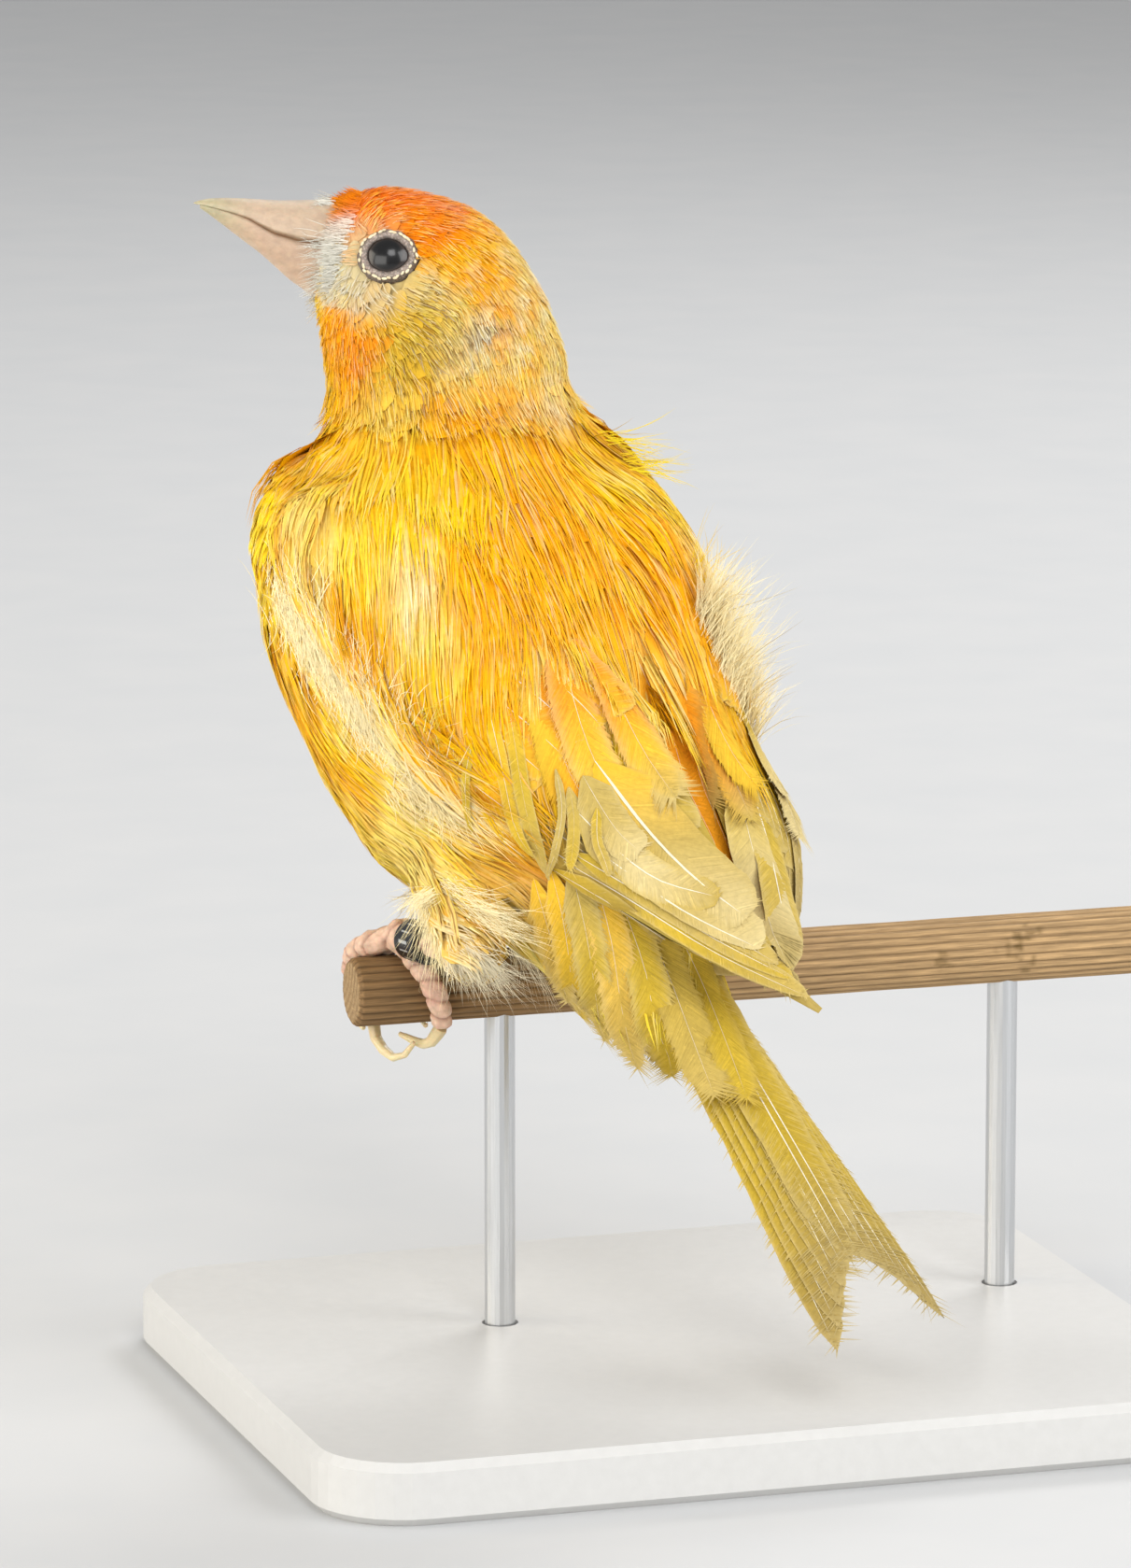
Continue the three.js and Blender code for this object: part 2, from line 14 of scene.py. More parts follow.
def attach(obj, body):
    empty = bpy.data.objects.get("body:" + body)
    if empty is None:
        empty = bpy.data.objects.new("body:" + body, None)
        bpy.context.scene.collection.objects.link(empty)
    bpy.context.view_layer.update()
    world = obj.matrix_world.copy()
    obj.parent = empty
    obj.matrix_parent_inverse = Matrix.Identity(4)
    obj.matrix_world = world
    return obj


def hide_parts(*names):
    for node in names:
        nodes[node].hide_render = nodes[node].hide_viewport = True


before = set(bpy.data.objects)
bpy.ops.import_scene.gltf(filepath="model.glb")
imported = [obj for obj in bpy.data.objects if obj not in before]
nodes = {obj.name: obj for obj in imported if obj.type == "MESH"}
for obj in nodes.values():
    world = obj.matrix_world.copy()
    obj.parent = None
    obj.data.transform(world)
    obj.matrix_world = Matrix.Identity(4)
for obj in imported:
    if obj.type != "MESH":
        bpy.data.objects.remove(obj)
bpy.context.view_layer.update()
MM = 0.001

# The photograph's frame in pixels, and the camera that gives it, with its focal length in those pixels
IMAGE_WIDTH, IMAGE_HEIGHT = 1211, 1679
CAMERA_AT = np.array([249.3, 753.2, 215.8])
CAMERA_AZIMUTH, CAMERA_ELEVATION = 162.5, 11.1
FOCAL_LENGTH = 8998

# The bird's own frames, as in the solids: x to its left, y rearward, z dorsal
HEAD = {"centre": (17.9, -21, 104.2), "yaw": 72.5, "pitch": 0}
TRUNK = {"centre": (14, -13, 71), "yaw": 16.5, "pitch": 54}
TAIL_ROOT, TAIL_YAW, TAIL_PITCH = (-4, 25, 1), 6, -9
EYE = {"radius": 2.9, "at": (6, -4.8, 5.5)}


def unit(v):
    return v / np.maximum(np.linalg.norm(v, axis=-1, keepdims=True), 1e-9)


def mix(a, b, t):
    return a + (b - a) * t


def smoothstep(low, high, x):
    t = np.clip((x - low) / (high - low), 0, 1)
    return t * t * (3 - 2 * t)


def dot(a, b):
    return (a * b).sum(-1, keepdims=True)


class Frame:
    """A turned frame of the bird's body, and the way in and out of it."""

    def __init__(self, centre, yaw, pitch, carrier=None):
        turn = Matrix.Rotation(math.radians(yaw), 3, "Z") @ Matrix.Rotation(math.radians(-pitch), 3, "X")
        self.axes = np.array(turn) if carrier is None else carrier.axes @ np.array(turn)
        self.centre = np.array(centre, float) if carrier is None else carrier.out(centre)

    def out(self, p):
        return np.asarray(p, float) @ self.axes.T + self.centre

    def into(self, p):
        return (np.asarray(p, float) - self.centre) @ self.axes

    def turn_out(self, d):
        return np.asarray(d, float) @ self.axes.T

    def turn_in(self, d):
        return np.asarray(d, float) @ self.axes


head = Frame(**HEAD)
trunk = Frame(**TRUNK)
tail = Frame(TAIL_ROOT, TAIL_YAW, TAIL_PITCH, trunk)


# Camera

def camera_axes():
    a, e = math.radians(CAMERA_AZIMUTH), math.radians(CAMERA_ELEVATION)
    back = np.array([math.sin(a) * math.cos(e), -math.cos(a) * math.cos(e), math.sin(e)])
    right = np.array([math.cos(a), math.sin(a), 0])
    return right, np.cross(back, right), back


def add_camera():
    camera = bpy.data.objects.new("camera", bpy.data.cameras.new("camera"))
    camera.data.sensor_fit = "VERTICAL"
    camera.data.sensor_height = 36
    camera.data.lens = FOCAL_LENGTH * camera.data.sensor_height / IMAGE_HEIGHT
    camera.data.clip_end = 20
    turned = Matrix([list(axis) for axis in camera_axes()]).transposed()
    camera.matrix_world = Matrix.Translation(Vector(CAMERA_AT * MM)) @ turned.to_4x4()
    bpy.context.scene.collection.objects.link(camera)
    bpy.context.scene.camera = camera


def sight(x, y):
    """The direction in which the camera sees a pixel of the photograph."""
    right, up, back = camera_axes()
    away = (x - IMAGE_WIDTH / 2) * right - (y - IMAGE_HEIGHT / 2) * up - FOCAL_LENGTH * back
    return unit(away)


# Meshes

SHAPE_KEYS = ("tint", "patch", "weave", "normals")


class Shape:
    """Vertices and triangles, with a colour, a place in the bake's map, a weave and a normal for each vertex.
    The weave is how far a vertex lies across and along the barbs, in millimetres."""

    def __init__(self, verts, faces, tint, patch=None, weave=None, normals=None):
        self.verts = np.asarray(verts, float)
        self.faces = np.asarray(faces, np.int64)
        self.tint = np.broadcast_to(tint, self.verts.shape)
        self.patch = np.zeros((len(verts), 2)) if patch is None else patch
        self.weave = np.zeros((len(verts), 2)) if weave is None else weave
        self.normals = normals_of(self.verts, self.faces) if normals is None else normals

    def only(self, faces):
        """The part that has the given triangles."""
        used, renumbered = np.unique(faces, return_inverse=True)
        rest = [getattr(self, key)[used] for key in SHAPE_KEYS]
        return Shape(self.verts[used], renumbered.reshape(-1, 3), *rest)


def join(shapes):
    shapes = list(shapes)
    starts = np.cumsum([0] + [len(shape.verts) for shape in shapes])
    faces = [shape.faces + start for shape, start in zip(shapes, starts)]
    rest = [np.concatenate([getattr(shape, key) for shape in shapes]) for key in SHAPE_KEYS]
    return Shape(np.concatenate([shape.verts for shape in shapes]), np.concatenate(faces), *rest)


# The most triangles that one piece of the coat gets
MOST_TRIANGLES = 190_000


def add_piece(name, shape, material, slot, replaces=(), bake_map=False):
    """A shape as a piece of the model, or as several where it has too many triangles for one."""
    pieces = math.ceil(len(shape.faces) / MOST_TRIANGLES)
    if pieces > 1:
        for k in range(pieces):
            own = shape.faces[len(shape.faces) * k // pieces:len(shape.faces) * (k + 1) // pieces]
            add_piece(f"{name}_{k + 1}", shape.only(own), material, slot, () if k else replaces, bake_map)
        return
    mesh = bpy.data.meshes.new(name)
    mesh.vertices.add(len(shape.verts))
    mesh.vertices.foreach_set("co", (shape.verts * MM).astype(np.float32).ravel())
    faces = shape.faces.astype(np.int32)
    mesh.loops.add(faces.size)
    mesh.loops.foreach_set("vertex_index", faces.ravel())
    mesh.polygons.add(len(faces))
    mesh.polygons.foreach_set("loop_start", np.arange(0, faces.size, 3, dtype=np.int32))
    mesh.polygons.foreach_set("use_smooth", np.ones(len(faces), bool))
    mesh.update(calc_edges=True)
    rgba = np.hstack([shape.tint, np.ones((len(shape.verts), 1))])
    tint = mesh.attributes.new("tint", "FLOAT_COLOR", "POINT")
    tint.data.foreach_set("color", rgba.astype(np.float32).ravel())
    weave = mesh.attributes.new("weave", "FLOAT_VECTOR", "POINT")
    weave.data.foreach_set("vector", np.pad(shape.weave, ((0, 0), (0, 1))).astype(np.float32).ravel())
    if bake_map:
        layer = mesh.uv_layers.new(name="OFBake")
        layer.data.foreach_set("uv", shape.patch[faces.ravel()].astype(np.float32).ravel())
    mesh.normals_split_custom_set_from_vertices(shape.normals.astype(np.float32))
    mesh.materials.append(material)
    piece = bpy.data.objects.new(name, mesh)
    bpy.context.scene.collection.objects.link(piece)
    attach(piece, "root")
    if replaces:
        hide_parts(*replaces)


def grid_faces(rows, columns, closed=False):
    """Triangles of a grid of rows by columns of vertices, whose rows may close on themselves."""
    across = np.arange(columns if closed else columns - 1)
    here = (np.arange(rows - 1)[:, None] * columns + across).ravel()
    beside = (np.arange(rows - 1)[:, None] * columns + (across + 1) % columns).ravel()
    above, both = here + columns, beside + columns
    return np.concatenate([np.stack([here, beside, both], 1), np.stack([here, both, above], 1)])


def tube_faces(rows, columns):
    """Triangles of rings of vertices, closed at both ends by the two vertices that follow them."""
    ring = np.arange(columns)
    beside = (ring + 1) % columns
    last = (rows - 1) * columns
    first_cap = np.stack([np.full(columns, rows * columns), beside, ring], 1)
    last_cap = np.stack([np.full(columns, rows * columns + 1), last + ring, last + beside], 1)
    return np.concatenate([grid_faces(rows, columns, True), first_cap, last_cap])


def closed_tube(rings):
    """Vertices and triangles of rings (row, column, 3), closed by a vertex in the middle of each end."""
    rows, columns = rings.shape[:2]
    ends = np.stack([rings[0].mean(0), rings[-1].mean(0)])
    return np.concatenate([rings.reshape(-1, 3), ends]), tube_faces(rows, columns)


def ball(centre, radii, rows=16, columns=24):
    """A closed ellipsoid: vertices and triangles."""
    lat = np.linspace(0.02, np.pi - 0.02, rows)[:, None]
    lon = np.linspace(0, 2 * np.pi, columns, endpoint=False)[None]
    rings = np.stack([np.sin(lat) * np.cos(lon), np.sin(lat) * np.sin(lon), np.cos(lat) + 0 * lon], 2)
    return closed_tube(rings[::-1] * radii + np.asarray(centre))


def normals_of(verts, faces):
    a, b, c = (verts[faces[:, k]] for k in range(3))
    face_normals = np.cross(b - a, c - a)
    total = np.zeros_like(verts)
    for k in range(3):
        for axis in range(3):
            total[:, axis] += np.bincount(faces[:, k], face_normals[:, axis], len(verts))
    return unit(total)


def relaxed(verts, faces, weight, rounds):
    """Vertices drawn again and again towards the middle of their neighbours, each by its own weight."""
    a = np.concatenate([faces[:, 0], faces[:, 1], faces[:, 2]])
    b = np.concatenate([faces[:, 1], faces[:, 2], faces[:, 0]])
    degree = np.bincount(a, minlength=len(verts))[:, None]
    for _ in range(rounds):
        middle = np.stack([np.bincount(a, verts[b, axis], len(verts)) for axis in range(3)], 1) / degree
        verts = verts + weight * (middle - verts)
    return verts


def mesh_arrays(piece):
    """The vertices and triangles of an object with its modifiers applied."""
    evaluated = piece.evaluated_get(bpy.context.evaluated_depsgraph_get())
    mesh = evaluated.to_mesh()
    mesh.calc_loop_triangles()
    verts = np.zeros(len(mesh.vertices) * 3)
    mesh.vertices.foreach_get("co", verts)
    faces = np.zeros(len(mesh.loop_triangles) * 3, np.int32)
    mesh.loop_triangles.foreach_get("vertices", faces)
    evaluated.to_mesh_clear()
    return verts.reshape(-1, 3), faces.reshape(-1, 3).astype(np.int64)


def node_mesh(name, grow=0):
    """A CAD node in millimetres with its shared vertices merged, grown along its normals."""
    verts, faces = mesh_arrays(nodes[name])
    verts = verts / MM
    _, first, same = np.unique(np.round(verts, 3), axis=0, return_index=True, return_inverse=True)
    verts, faces = verts[first], same.reshape(-1)[faces]
    return verts + normals_of(verts, faces) * grow, faces


def fused(parts, voxel, rounds):
    """Closed meshes fused to one surface, smoothed in rounds: its vertices and triangles."""
    counts = np.cumsum([0] + [len(v) for v, f in parts])
    verts = np.concatenate([v for v, f in parts])
    faces = np.concatenate([f + start for (v, f), start in zip(parts, counts)])
    mesh = bpy.data.meshes.new("fuse")
    mesh.from_pydata(verts.tolist(), [], faces.tolist())
    fuse = bpy.data.objects.new("fuse", mesh)
    bpy.context.scene.collection.objects.link(fuse)
    remesh = fuse.modifiers.new("remesh", "REMESH")
    remesh.mode = "VOXEL"
    remesh.voxel_size = voxel
    verts, faces = mesh_arrays(fuse)
    bpy.data.objects.remove(fuse)
    bpy.data.meshes.remove(mesh)
    return relaxed(verts, faces, 0.5, rounds), faces


class Surface:
    """A mesh that points can be laid on."""

    def __init__(self, verts, faces):
        self.verts, self.faces, self.normals = verts, faces, normals_of(verts, faces)
        self.tree = BVHTree.FromPolygons(verts.tolist(), faces.tolist())

    def snap(self, points):
        """The nearest point of the surface to each point, and the normal there."""
        found = [self.tree.find_nearest(p) for p in points.tolist()]
        at = np.array([f[0] for f in found])
        corners = self.faces[np.array([f[2] for f in found])]
        weight = 1 / (np.linalg.norm(self.verts[corners] - at[:, None], axis=2, keepdims=True) + 1e-3)
        return at, unit((self.normals[corners] * weight).sum(1))

    def distance(self, points):
        return np.array([self.tree.find_nearest(p)[3] for p in points.tolist()])

    def from_outside(self, points, middles):
        """The outermost points of the surface over the given points, seen from their middles."""
        out = unit(points - middles)
        found = []
        for start, way, point in zip(points + out * 15, -out, points):
            hit = self.tree.ray_cast(Vector(start), Vector(way))[0]
            found.append(point if hit is None else np.array(hit))
        return np.array(found)

    def seen(self, x, y):
        """The point of the surface that the camera sees at a pixel, or the nearest to its line of sight."""
        ray = sight(x, y)
        hit = self.tree.ray_cast(Vector(CAMERA_AT), Vector(ray))[0]
        if hit is not None:
            return np.array(hit)
        at = CAMERA_AT + ray * np.linalg.norm(CAMERA_AT - trunk.centre)
        for _ in range(12):
            near = np.array(self.tree.find_nearest(at.tolist())[0])
            at = CAMERA_AT + ray * ((near - CAMERA_AT) @ ray)
        return near

    def sprinkle(self, count, rng):
        """Random points spread evenly by area."""
        corners = self.verts[self.faces]
        areas = np.linalg.norm(np.cross(corners[:, 1] - corners[:, 0], corners[:, 2] - corners[:, 0]), axis=1)
        pick = rng.choice(len(self.faces), count, p=areas / areas.sum())
        return (corners[pick] * rng.dirichlet((1, 1, 1), count)[:, :, None]).sum(1)

    def spaced(self, count, spacing, rng):
        """Random points no nearer to each other than spacing(points)."""
        points = self.sprinkle(count, rng)
        gaps = spacing(points)
        cells = np.floor(points / gaps.max()).astype(int).tolist()
        taken = {}
        keep = []
        for i, (x, y, z) in enumerate(cells):
            near = [
                j
                for a in (x - 1, x, x + 1)
                for b in (y - 1, y, y + 1)
                for c in (z - 1, z, z + 1)
                for j in taken.get((a, b, c), ())
            ]
            if near and ((points[near] - points[i]) ** 2).sum(1).min() < gaps[i] ** 2:
                continue
            keep.append(i)
            taken.setdefault((x, y, z), []).append(i)
        return points[keep]


def waves(points, size, seed, parts=9):
    """Smooth noise from about -1 to 1 with features of about the given size."""
    rng = np.random.default_rng(seed)
    total = np.zeros(len(points))
    for _ in range(parts):
        way = unit(rng.normal(size=3)) * 2 * np.pi / (size * rng.uniform(1.2, 2.6))
        total += np.sin(points @ way + rng.uniform(0, 2 * np.pi))
    return total / math.sqrt(parts)


def interpolated(x, knots, rows):
    """Values at x of rows that are given at knots, with straight lines between them."""
    return np.stack([np.interp(x, knots, column) for column in np.asarray(rows).T], 1)


def curve(points, count):
    """Points spaced evenly along a smooth curve through the given points."""
    p = np.asarray(points, float)
    ends = np.vstack([2 * p[0] - p[1], p, 2 * p[-1] - p[-2]])
    t = np.linspace(0, len(p) - 1, 24 * len(p))
    k = np.minimum(t.astype(int), len(p) - 2)
    f = (t - k)[:, None]
    a, b, c, d = (ends[k + i] for i in range(4))
    fine = 2 * b + (c - a) * f + (2 * a - 5 * b + 4 * c - d) * f**2 + (3 * b - a - 3 * c + d) * f**3
    fine = fine / 2
    reach = np.concatenate([[0], np.cumsum(np.linalg.norm(np.diff(fine, axis=0), axis=1))])
    return interpolated(np.linspace(0, reach[-1], count), reach, fine)


# Body surfaces

FLESH = ("head", "neck", "trunk", "thigh_left", "thigh_right")
WINGS_AND_TAIL = ("wing_left", "wing_right", "tail")
# How far the nodes grow before they are fused, and the size of the cells that fuse them, in millimetres
FLESH_GROWTH, WING_GROWTH, FUSE_CELL = 0.2, 0.22, 0.5
# How far the ball that fills each eye's socket lies inside the eye
EYE_FILL_GAP = 0.25
# Fillers in the trunk's frame that round the shoulders between neck and wings: their middles and radii
CAPE = (((-9, -19, 5.5), 6), ((-13, -16.5, 4), 6), ((9, -18.5, 5), 6), ((-8, -8, 9), 7), ((6, -9, 9), 7))


def eye_centre(side):
    x, y, z = EYE["at"]
    return head.out((side * x, y, z))


eye_fill = [ball(eye_centre(side), EYE["radius"] - EYE_FILL_GAP) for side in (1, -1)]
cape_fill = [ball(trunk.out(at), radius) for at, radius in CAPE]
flesh_parts = [node_mesh(name, FLESH_GROWTH) for name in FLESH] + eye_fill
flesh = Surface(*fused(flesh_parts, FUSE_CELL, 8))
# The feathers that bulge over the left wing's bend, along these pixels
ROLL_PIXELS = ((352, 482), (318, 502), (296, 538), (286, 580), (286, 615), (296, 645))
ROLL_RADIUS, ROLL_BALLS = 1.9, 26
roll_line = curve(np.array([flesh.seen(*pixel) for pixel in ROLL_PIXELS]), ROLL_BALLS)
roll_swell = 0.35 + 0.65 * np.sin(np.linspace(0, np.pi, ROLL_BALLS))
roll_fill = [ball(at, ROLL_RADIUS * swell) for at, swell in zip(roll_line, roll_swell)]


def from_roll(points):
    """How far points lie from the roll's middle line."""
    return np.min([np.linalg.norm(points - at, axis=1) for at in roll_line], axis=0)


def make_drape():
    """The surface that the feathers' tips reach: flesh, wings and tail, with the mantle smoothed over."""
    wings_and_tail = [node_mesh(name, WING_GROWTH) for name in WINGS_AND_TAIL]
    verts, faces = fused(flesh_parts + wings_and_tail + cape_fill + roll_fill, FUSE_CELL, 6)
    q = trunk.into(verts)
    on_mantle = smoothstep(-3, 3, q[:, 2]) * smoothstep(16, 6, q[:, 1])
    on_mantle *= smoothstep(-12, -15, head.into(verts)[:, 2])
    on_mantle *= smoothstep(ROLL_RADIUS, 2 * ROLL_RADIUS, from_roll(verts))
    return Surface(relaxed(verts, faces, 0.5 * on_mantle[:, None], 70), faces)


drape = make_drape()
# Body and tail without the wings
rump = Surface(*fused(flesh_parts + [node_mesh("tail", WING_GROWTH)], FUSE_CELL, 6))
node_surface = {name: Surface(*node_mesh(name)) for name in FLESH + WINGS_AND_TAIL}


def on_nodes(points, *names):
    """Which points lie on the named nodes."""
    nearest = np.argmin([surface.distance(points) for surface in node_surface.values()], axis=0)
    return np.isin(nearest, [list(node_surface).index(name) for name in names])


# Each folded wing's two long edges in the trunk's frame, from the shoulder to the tip
WING_EDGES = {
    1: (
        ((18.5, -18, -2), (20.4, -7.4, 2), (17.3, 4.4, 3.4), (12.3, 16, 4.5), (7.4, 24.8, 6.2),
         (-0.5, 37, 10.5), (-11, 46, 12.3)),
        ((11, -16.5, 10.7), (5.6, -2.9, 15.8), (1, 7.6, 15.3), (-3.5, 16, 14), (-5.5, 25, 13),
         (-8, 36, 12.6), (-12, 45.2, 12.1)),
    ),
    -1: (
        ((-17.5, -18, -2), (-20.5, -6, 0), (-21, 6, 1.5), (-20.5, 18, 5), (-19.5, 26, 7.5),
         (-16.5, 33.7, 7.5), (-13, 39.5, 7.8)),
        ((-8, -14, 11.2), (-6.6, -2.5, 15.2), (-6.2, 7.7, 15), (-7, 17, 14), (-8, 25, 12.2),
         (-10, 33, 10.4), (-12.4, 39.3, 8.4)),
    ),
}
# The trunk's middle line, which rays to the wings' outer faces start from
TRUNK_AXIS = ((0, -14, 1), (0, 0, 0), (0, 14, -1), (-2.6, 29, -1), (-4, 50, -6))
WING_ROWS, WING_COLUMNS = 61, 5
wing_lines = {
    side: tuple(curve(trunk.out(edge), WING_ROWS) for edge in (*edges, TRUNK_AXIS))
    for side, edges in WING_EDGES.items()
}


def on_wing(side, u, w):
    """Points of a folded wing's outer face, for u from the shoulder to the tip and w across it."""
    rows = np.linspace(0, 1, WING_ROWS)
    leading, trailing, axis = (interpolated(u, rows, line) for line in wing_lines[side])
    return drape.from_outside(mix(leading, trailing, np.asarray(w)[:, None]), axis)


def wing_share(points):
    """How far points lie along the nearer wing, from 0 at its shoulder to 1 at its tip."""
    tree = KDTree(2 * WING_ROWS * WING_COLUMNS)
    shares = []
    for side in (1, -1):
        leading, trailing, _ = wing_lines[side]
        for row, (a, b) in enumerate(zip(leading, trailing)):
            for w in np.linspace(0, 1, WING_COLUMNS):
                tree.insert(Vector(mix(a, b, w)), len(shares))
                shares.append(row / (WING_ROWS - 1))
    tree.balance()
    return np.array([shares[tree.find(Vector(p))[1]] for p in points])


# Markings: the same colours for skin and coat

def linear(red, green, blue):
    """An sRGB colour of 0 to 255 in linear light."""
    c = np.array([red, green, blue]) / 255
    return np.where(c <= 0.04045, c / 12.92, ((c + 0.055) / 1.055) ** 2.4)


CROWN = linear(238, 102, 4)
ORANGE = linear(240, 164, 12)
GOLD = linear(240, 200, 18)
YELLOW = linear(242, 212, 38)
LEMON = linear(236, 216, 72)
STRAW = linear(230, 212, 138)
CREAM = linear(240, 228, 196)
DOWN = linear(255, 240, 192)
FACE = linear(204, 204, 194)
OLIVE = linear(208, 182, 72)
# A deeper orange that stands for orange plumage in shade: painted shade, used for the shadow line under the
# head's feathers, the shadow line inside the roll at the wing's bend and the gap between the wings
SHADE_ORANGE = linear(214, 140, 26)
WHITE = linear(255, 252, 240)
# What a barb's colour is multiplied by at its root and at its tip, a painted gradient of shade that is darker
# and warmer at the root, deep in the coat, and paler at the tip; and all along where it is a dark one
SHADED_BARB_ROOT, BARB_TIP = np.array([0.97, 0.86, 0.6]), np.array([1.0, 1.03, 1.1])
DARK_BARB = np.array([0.42, 0.34, 0.3])
# Light that comes back from under the coat is warmer
UNDERLIGHT = np.array([1.0, 0.86, 0.55])
# Flight feathers lie flat and let less light through, so theirs are the colours that they show
FLIGHT = {
    "orange": linear(234, 152, 30),
    "gold": linear(232, 184, 50),
    "lemon": linear(198, 167, 54),
    "straw": linear(190, 165, 92),
    "tip": linear(160, 137, 80),
    "rim": linear(212, 193, 138),
    "shaft": linear(250, 244, 222),
    # The deeper orange is painted shade, for the feathers in the gap between the wings
    "ochre": SHADE_ORANGE,
}


def flight_colours(words):
    """The flight colours that are named in words, from root to tip."""
    return [FLIGHT[word] for word in words.split()]


# Each spot: the pixel (x, y) at its middle, its radius in millimetres, its strength and its colour
HEAD_SPOTS = (
    (440, 222, 4.2, 1.0, CROWN), (390, 222, 3.4, 1.2, CROWN), (478, 228, 2.8, 0.8, CROWN),
    (512, 250, 3.2, 0.5, ORANGE), (485, 262, 2.6, 0.6, ORANGE), (528, 290, 3.0, 0.5, ORANGE),
    (545, 262, 2.6, 0.6, STRAW), (560, 300, 3.2, 0.7, STRAW), (500, 300, 2.6, 0.5, ORANGE),
    (588, 345, 3.4, 1.4, STRAW), (572, 400, 2.6, 0.7, LEMON), (540, 340, 2.4, 0.6, ORANGE),
    (570, 440, 2.4, 0.5, ORANGE), (596, 440, 2.2, 0.8, CREAM), (545, 400, 3.2, 0.8, STRAW),
    (372, 268, 2.4, 5.0, FACE), (362, 296, 2.4, 5.0, FACE), (350, 312, 1.4, 4.0, FACE),
    (386, 300, 1.7, 4.0, FACE), (384, 252, 1.2, 2.0, FACE), (405, 308, 1.4, 3.0, FACE),
    (375, 345, 3.0, 1.2, ORANGE), (380, 380, 2.6, 1.0, CROWN), (372, 410, 2.4, 0.8, ORANGE),
    (355, 370, 2.6, 0.9, ORANGE), (440, 322, 3.0, 0.9, OLIVE), (450, 360, 4.0, 1.1, OLIVE),
    (430, 400, 3.4, 0.9, OLIVE), (478, 335, 2.4, 0.7, STRAW), (515, 368, 1.8, 2.5, FACE),
    (505, 400, 2.0, 1.6, STRAW), (415, 440, 3.2, 0.4, STRAW), (500, 445, 3.2, 0.8, ORANGE),
    (545, 430, 2.6, 0.6, ORANGE), (425, 306, 1.8, 1.2, FACE), (455, 305, 1.6, 1.0, FACE),
    (585, 300, 1.6, 0.8, CREAM), (560, 330, 1.6, 0.9, CREAM), (545, 300, 1.4, 0.8, GOLD),
    (570, 365, 1.8, 0.8, ORANGE), (592, 395, 1.8, 0.9, CREAM), (530, 265, 1.6, 0.6, GOLD),
    (505, 275, 1.6, 0.7, GOLD), (550, 375, 1.8, 0.6, CREAM),
)
BODY_SPOTS = (
    (590, 540, 4.0, 0.9, ORANGE), (560, 590, 3.4, 0.5, ORANGE), (672, 648, 4.4, 0.9, ORANGE),
    (395, 660, 3.0, 0.7, ORANGE), (355, 690, 2.8, 0.7, ORANGE), (500, 610, 4.0, 0.4, ORANGE),
    (430, 480, 4.2, 0.6, GOLD), (440, 600, 2.2, 0.9, CREAM), (460, 640, 2.4, 0.7, STRAW),
    (320, 555, 2.6, 0.7, STRAW), (335, 600, 2.6, 0.6, STRAW), (345, 540, 2.4, 0.5, STRAW),
    (300, 520, 2.2, 0.6, YELLOW), (450, 770, 3.0, 0.7, ORANGE), (270, 570, 3.0, 0.9, YELLOW),
    # Painted shadow: the four small spots of the deeper orange, from (314, 512) to (298, 600), draw the shadow
    # line inside the roll
    (282, 530, 2.4, 0.7, GOLD), (314, 512, 1.1, 1.6, SHADE_ORANGE), (304, 538, 1.1, 1.6, SHADE_ORANGE),
    (300, 568, 1.1, 1.6, SHADE_ORANGE), (298, 600, 1.1, 1.4, SHADE_ORANGE), (350, 820, 3.2, 0.9, ORANGE),
    (300, 720, 3.6, 0.8, ORANGE), (700, 720, 3.0, 0.8, STRAW), (400, 900, 3.6, 0.5, STRAW),
    (445, 925, 3.0, 0.7, STRAW), (430, 840, 2.4, 0.9, CREAM), (540, 960, 3.4, 0.9, STRAW),
    (448, 985, 2.4, 1.6, CREAM), (470, 1012, 2.6, 1.6, CREAM), (500, 1030, 2.4, 1.2, CREAM),
    (740, 640, 4.0, 0.7, ORANGE), (765, 740, 3.4, 0.7, ORANGE), (730, 600, 3.4, 0.6, ORANGE),
    # Painted shade: the two spots of the deeper orange at (765, 890) and (745, 840) darken the orange rump in
    # the gap between the wings
    (765, 890, 4.0, 1.6, SHADE_ORANGE), (745, 840, 3.0, 1.4, SHADE_ORANGE), (600, 1020, 4.2, 0.8, STRAW),
    (560, 1010, 3.6, 0.6, STRAW), (660, 1040, 5.2, 0.9, LEMON), (700, 1090, 5.2, 0.8, LEMON),
    (520, 990, 3.4, 0.9, STRAW), (490, 930, 3.0, 0.5, YELLOW), (312, 645, 2.2, 1.2, DOWN),
    (340, 695, 2.4, 1.3, DOWN), (375, 745, 2.6, 1.3, DOWN), (415, 795, 2.6, 1.3, DOWN),
    (455, 840, 2.4, 1.2, DOWN),
)


# What turns a place or direction in a frame of the body to its mirror image
MIRROR = np.array([-1, 1, 1])


def placed(spots, own_frame):
    """Each spot's centre on the body, and its mirror image on the bird's other side."""
    made = []
    for x, y, *rest in spots:
        at = drape.seen(x, y)
        made += [(at, *rest), (own_frame.out(own_frame.into(at) * MIRROR), *rest)]
    return made


spots = placed(HEAD_SPOTS, head) + placed(BODY_SPOTS, trunk)

# How much the ground colour counts, how much the spots count, and how far the spots' edges waver
GROUND_WEIGHT, SPOT_WEIGHT, SPOT_WAVER = 0.55, 2.2, 0.9
# The most that the back of the head is mottled with cream and with orange
CREAM_MOTTLE, ORANGE_MOTTLE = 0.55, 0.45
# The painted shadow line under the lower edge of the head's feathers, where they overhang the body's: its height
# in the head's frame, width and strength
HEM_SHADOW_Z, HEM_SHADOW_WIDTH, HEM_SHADOW_STRENGTH = -13.4, 0.8, 0.6


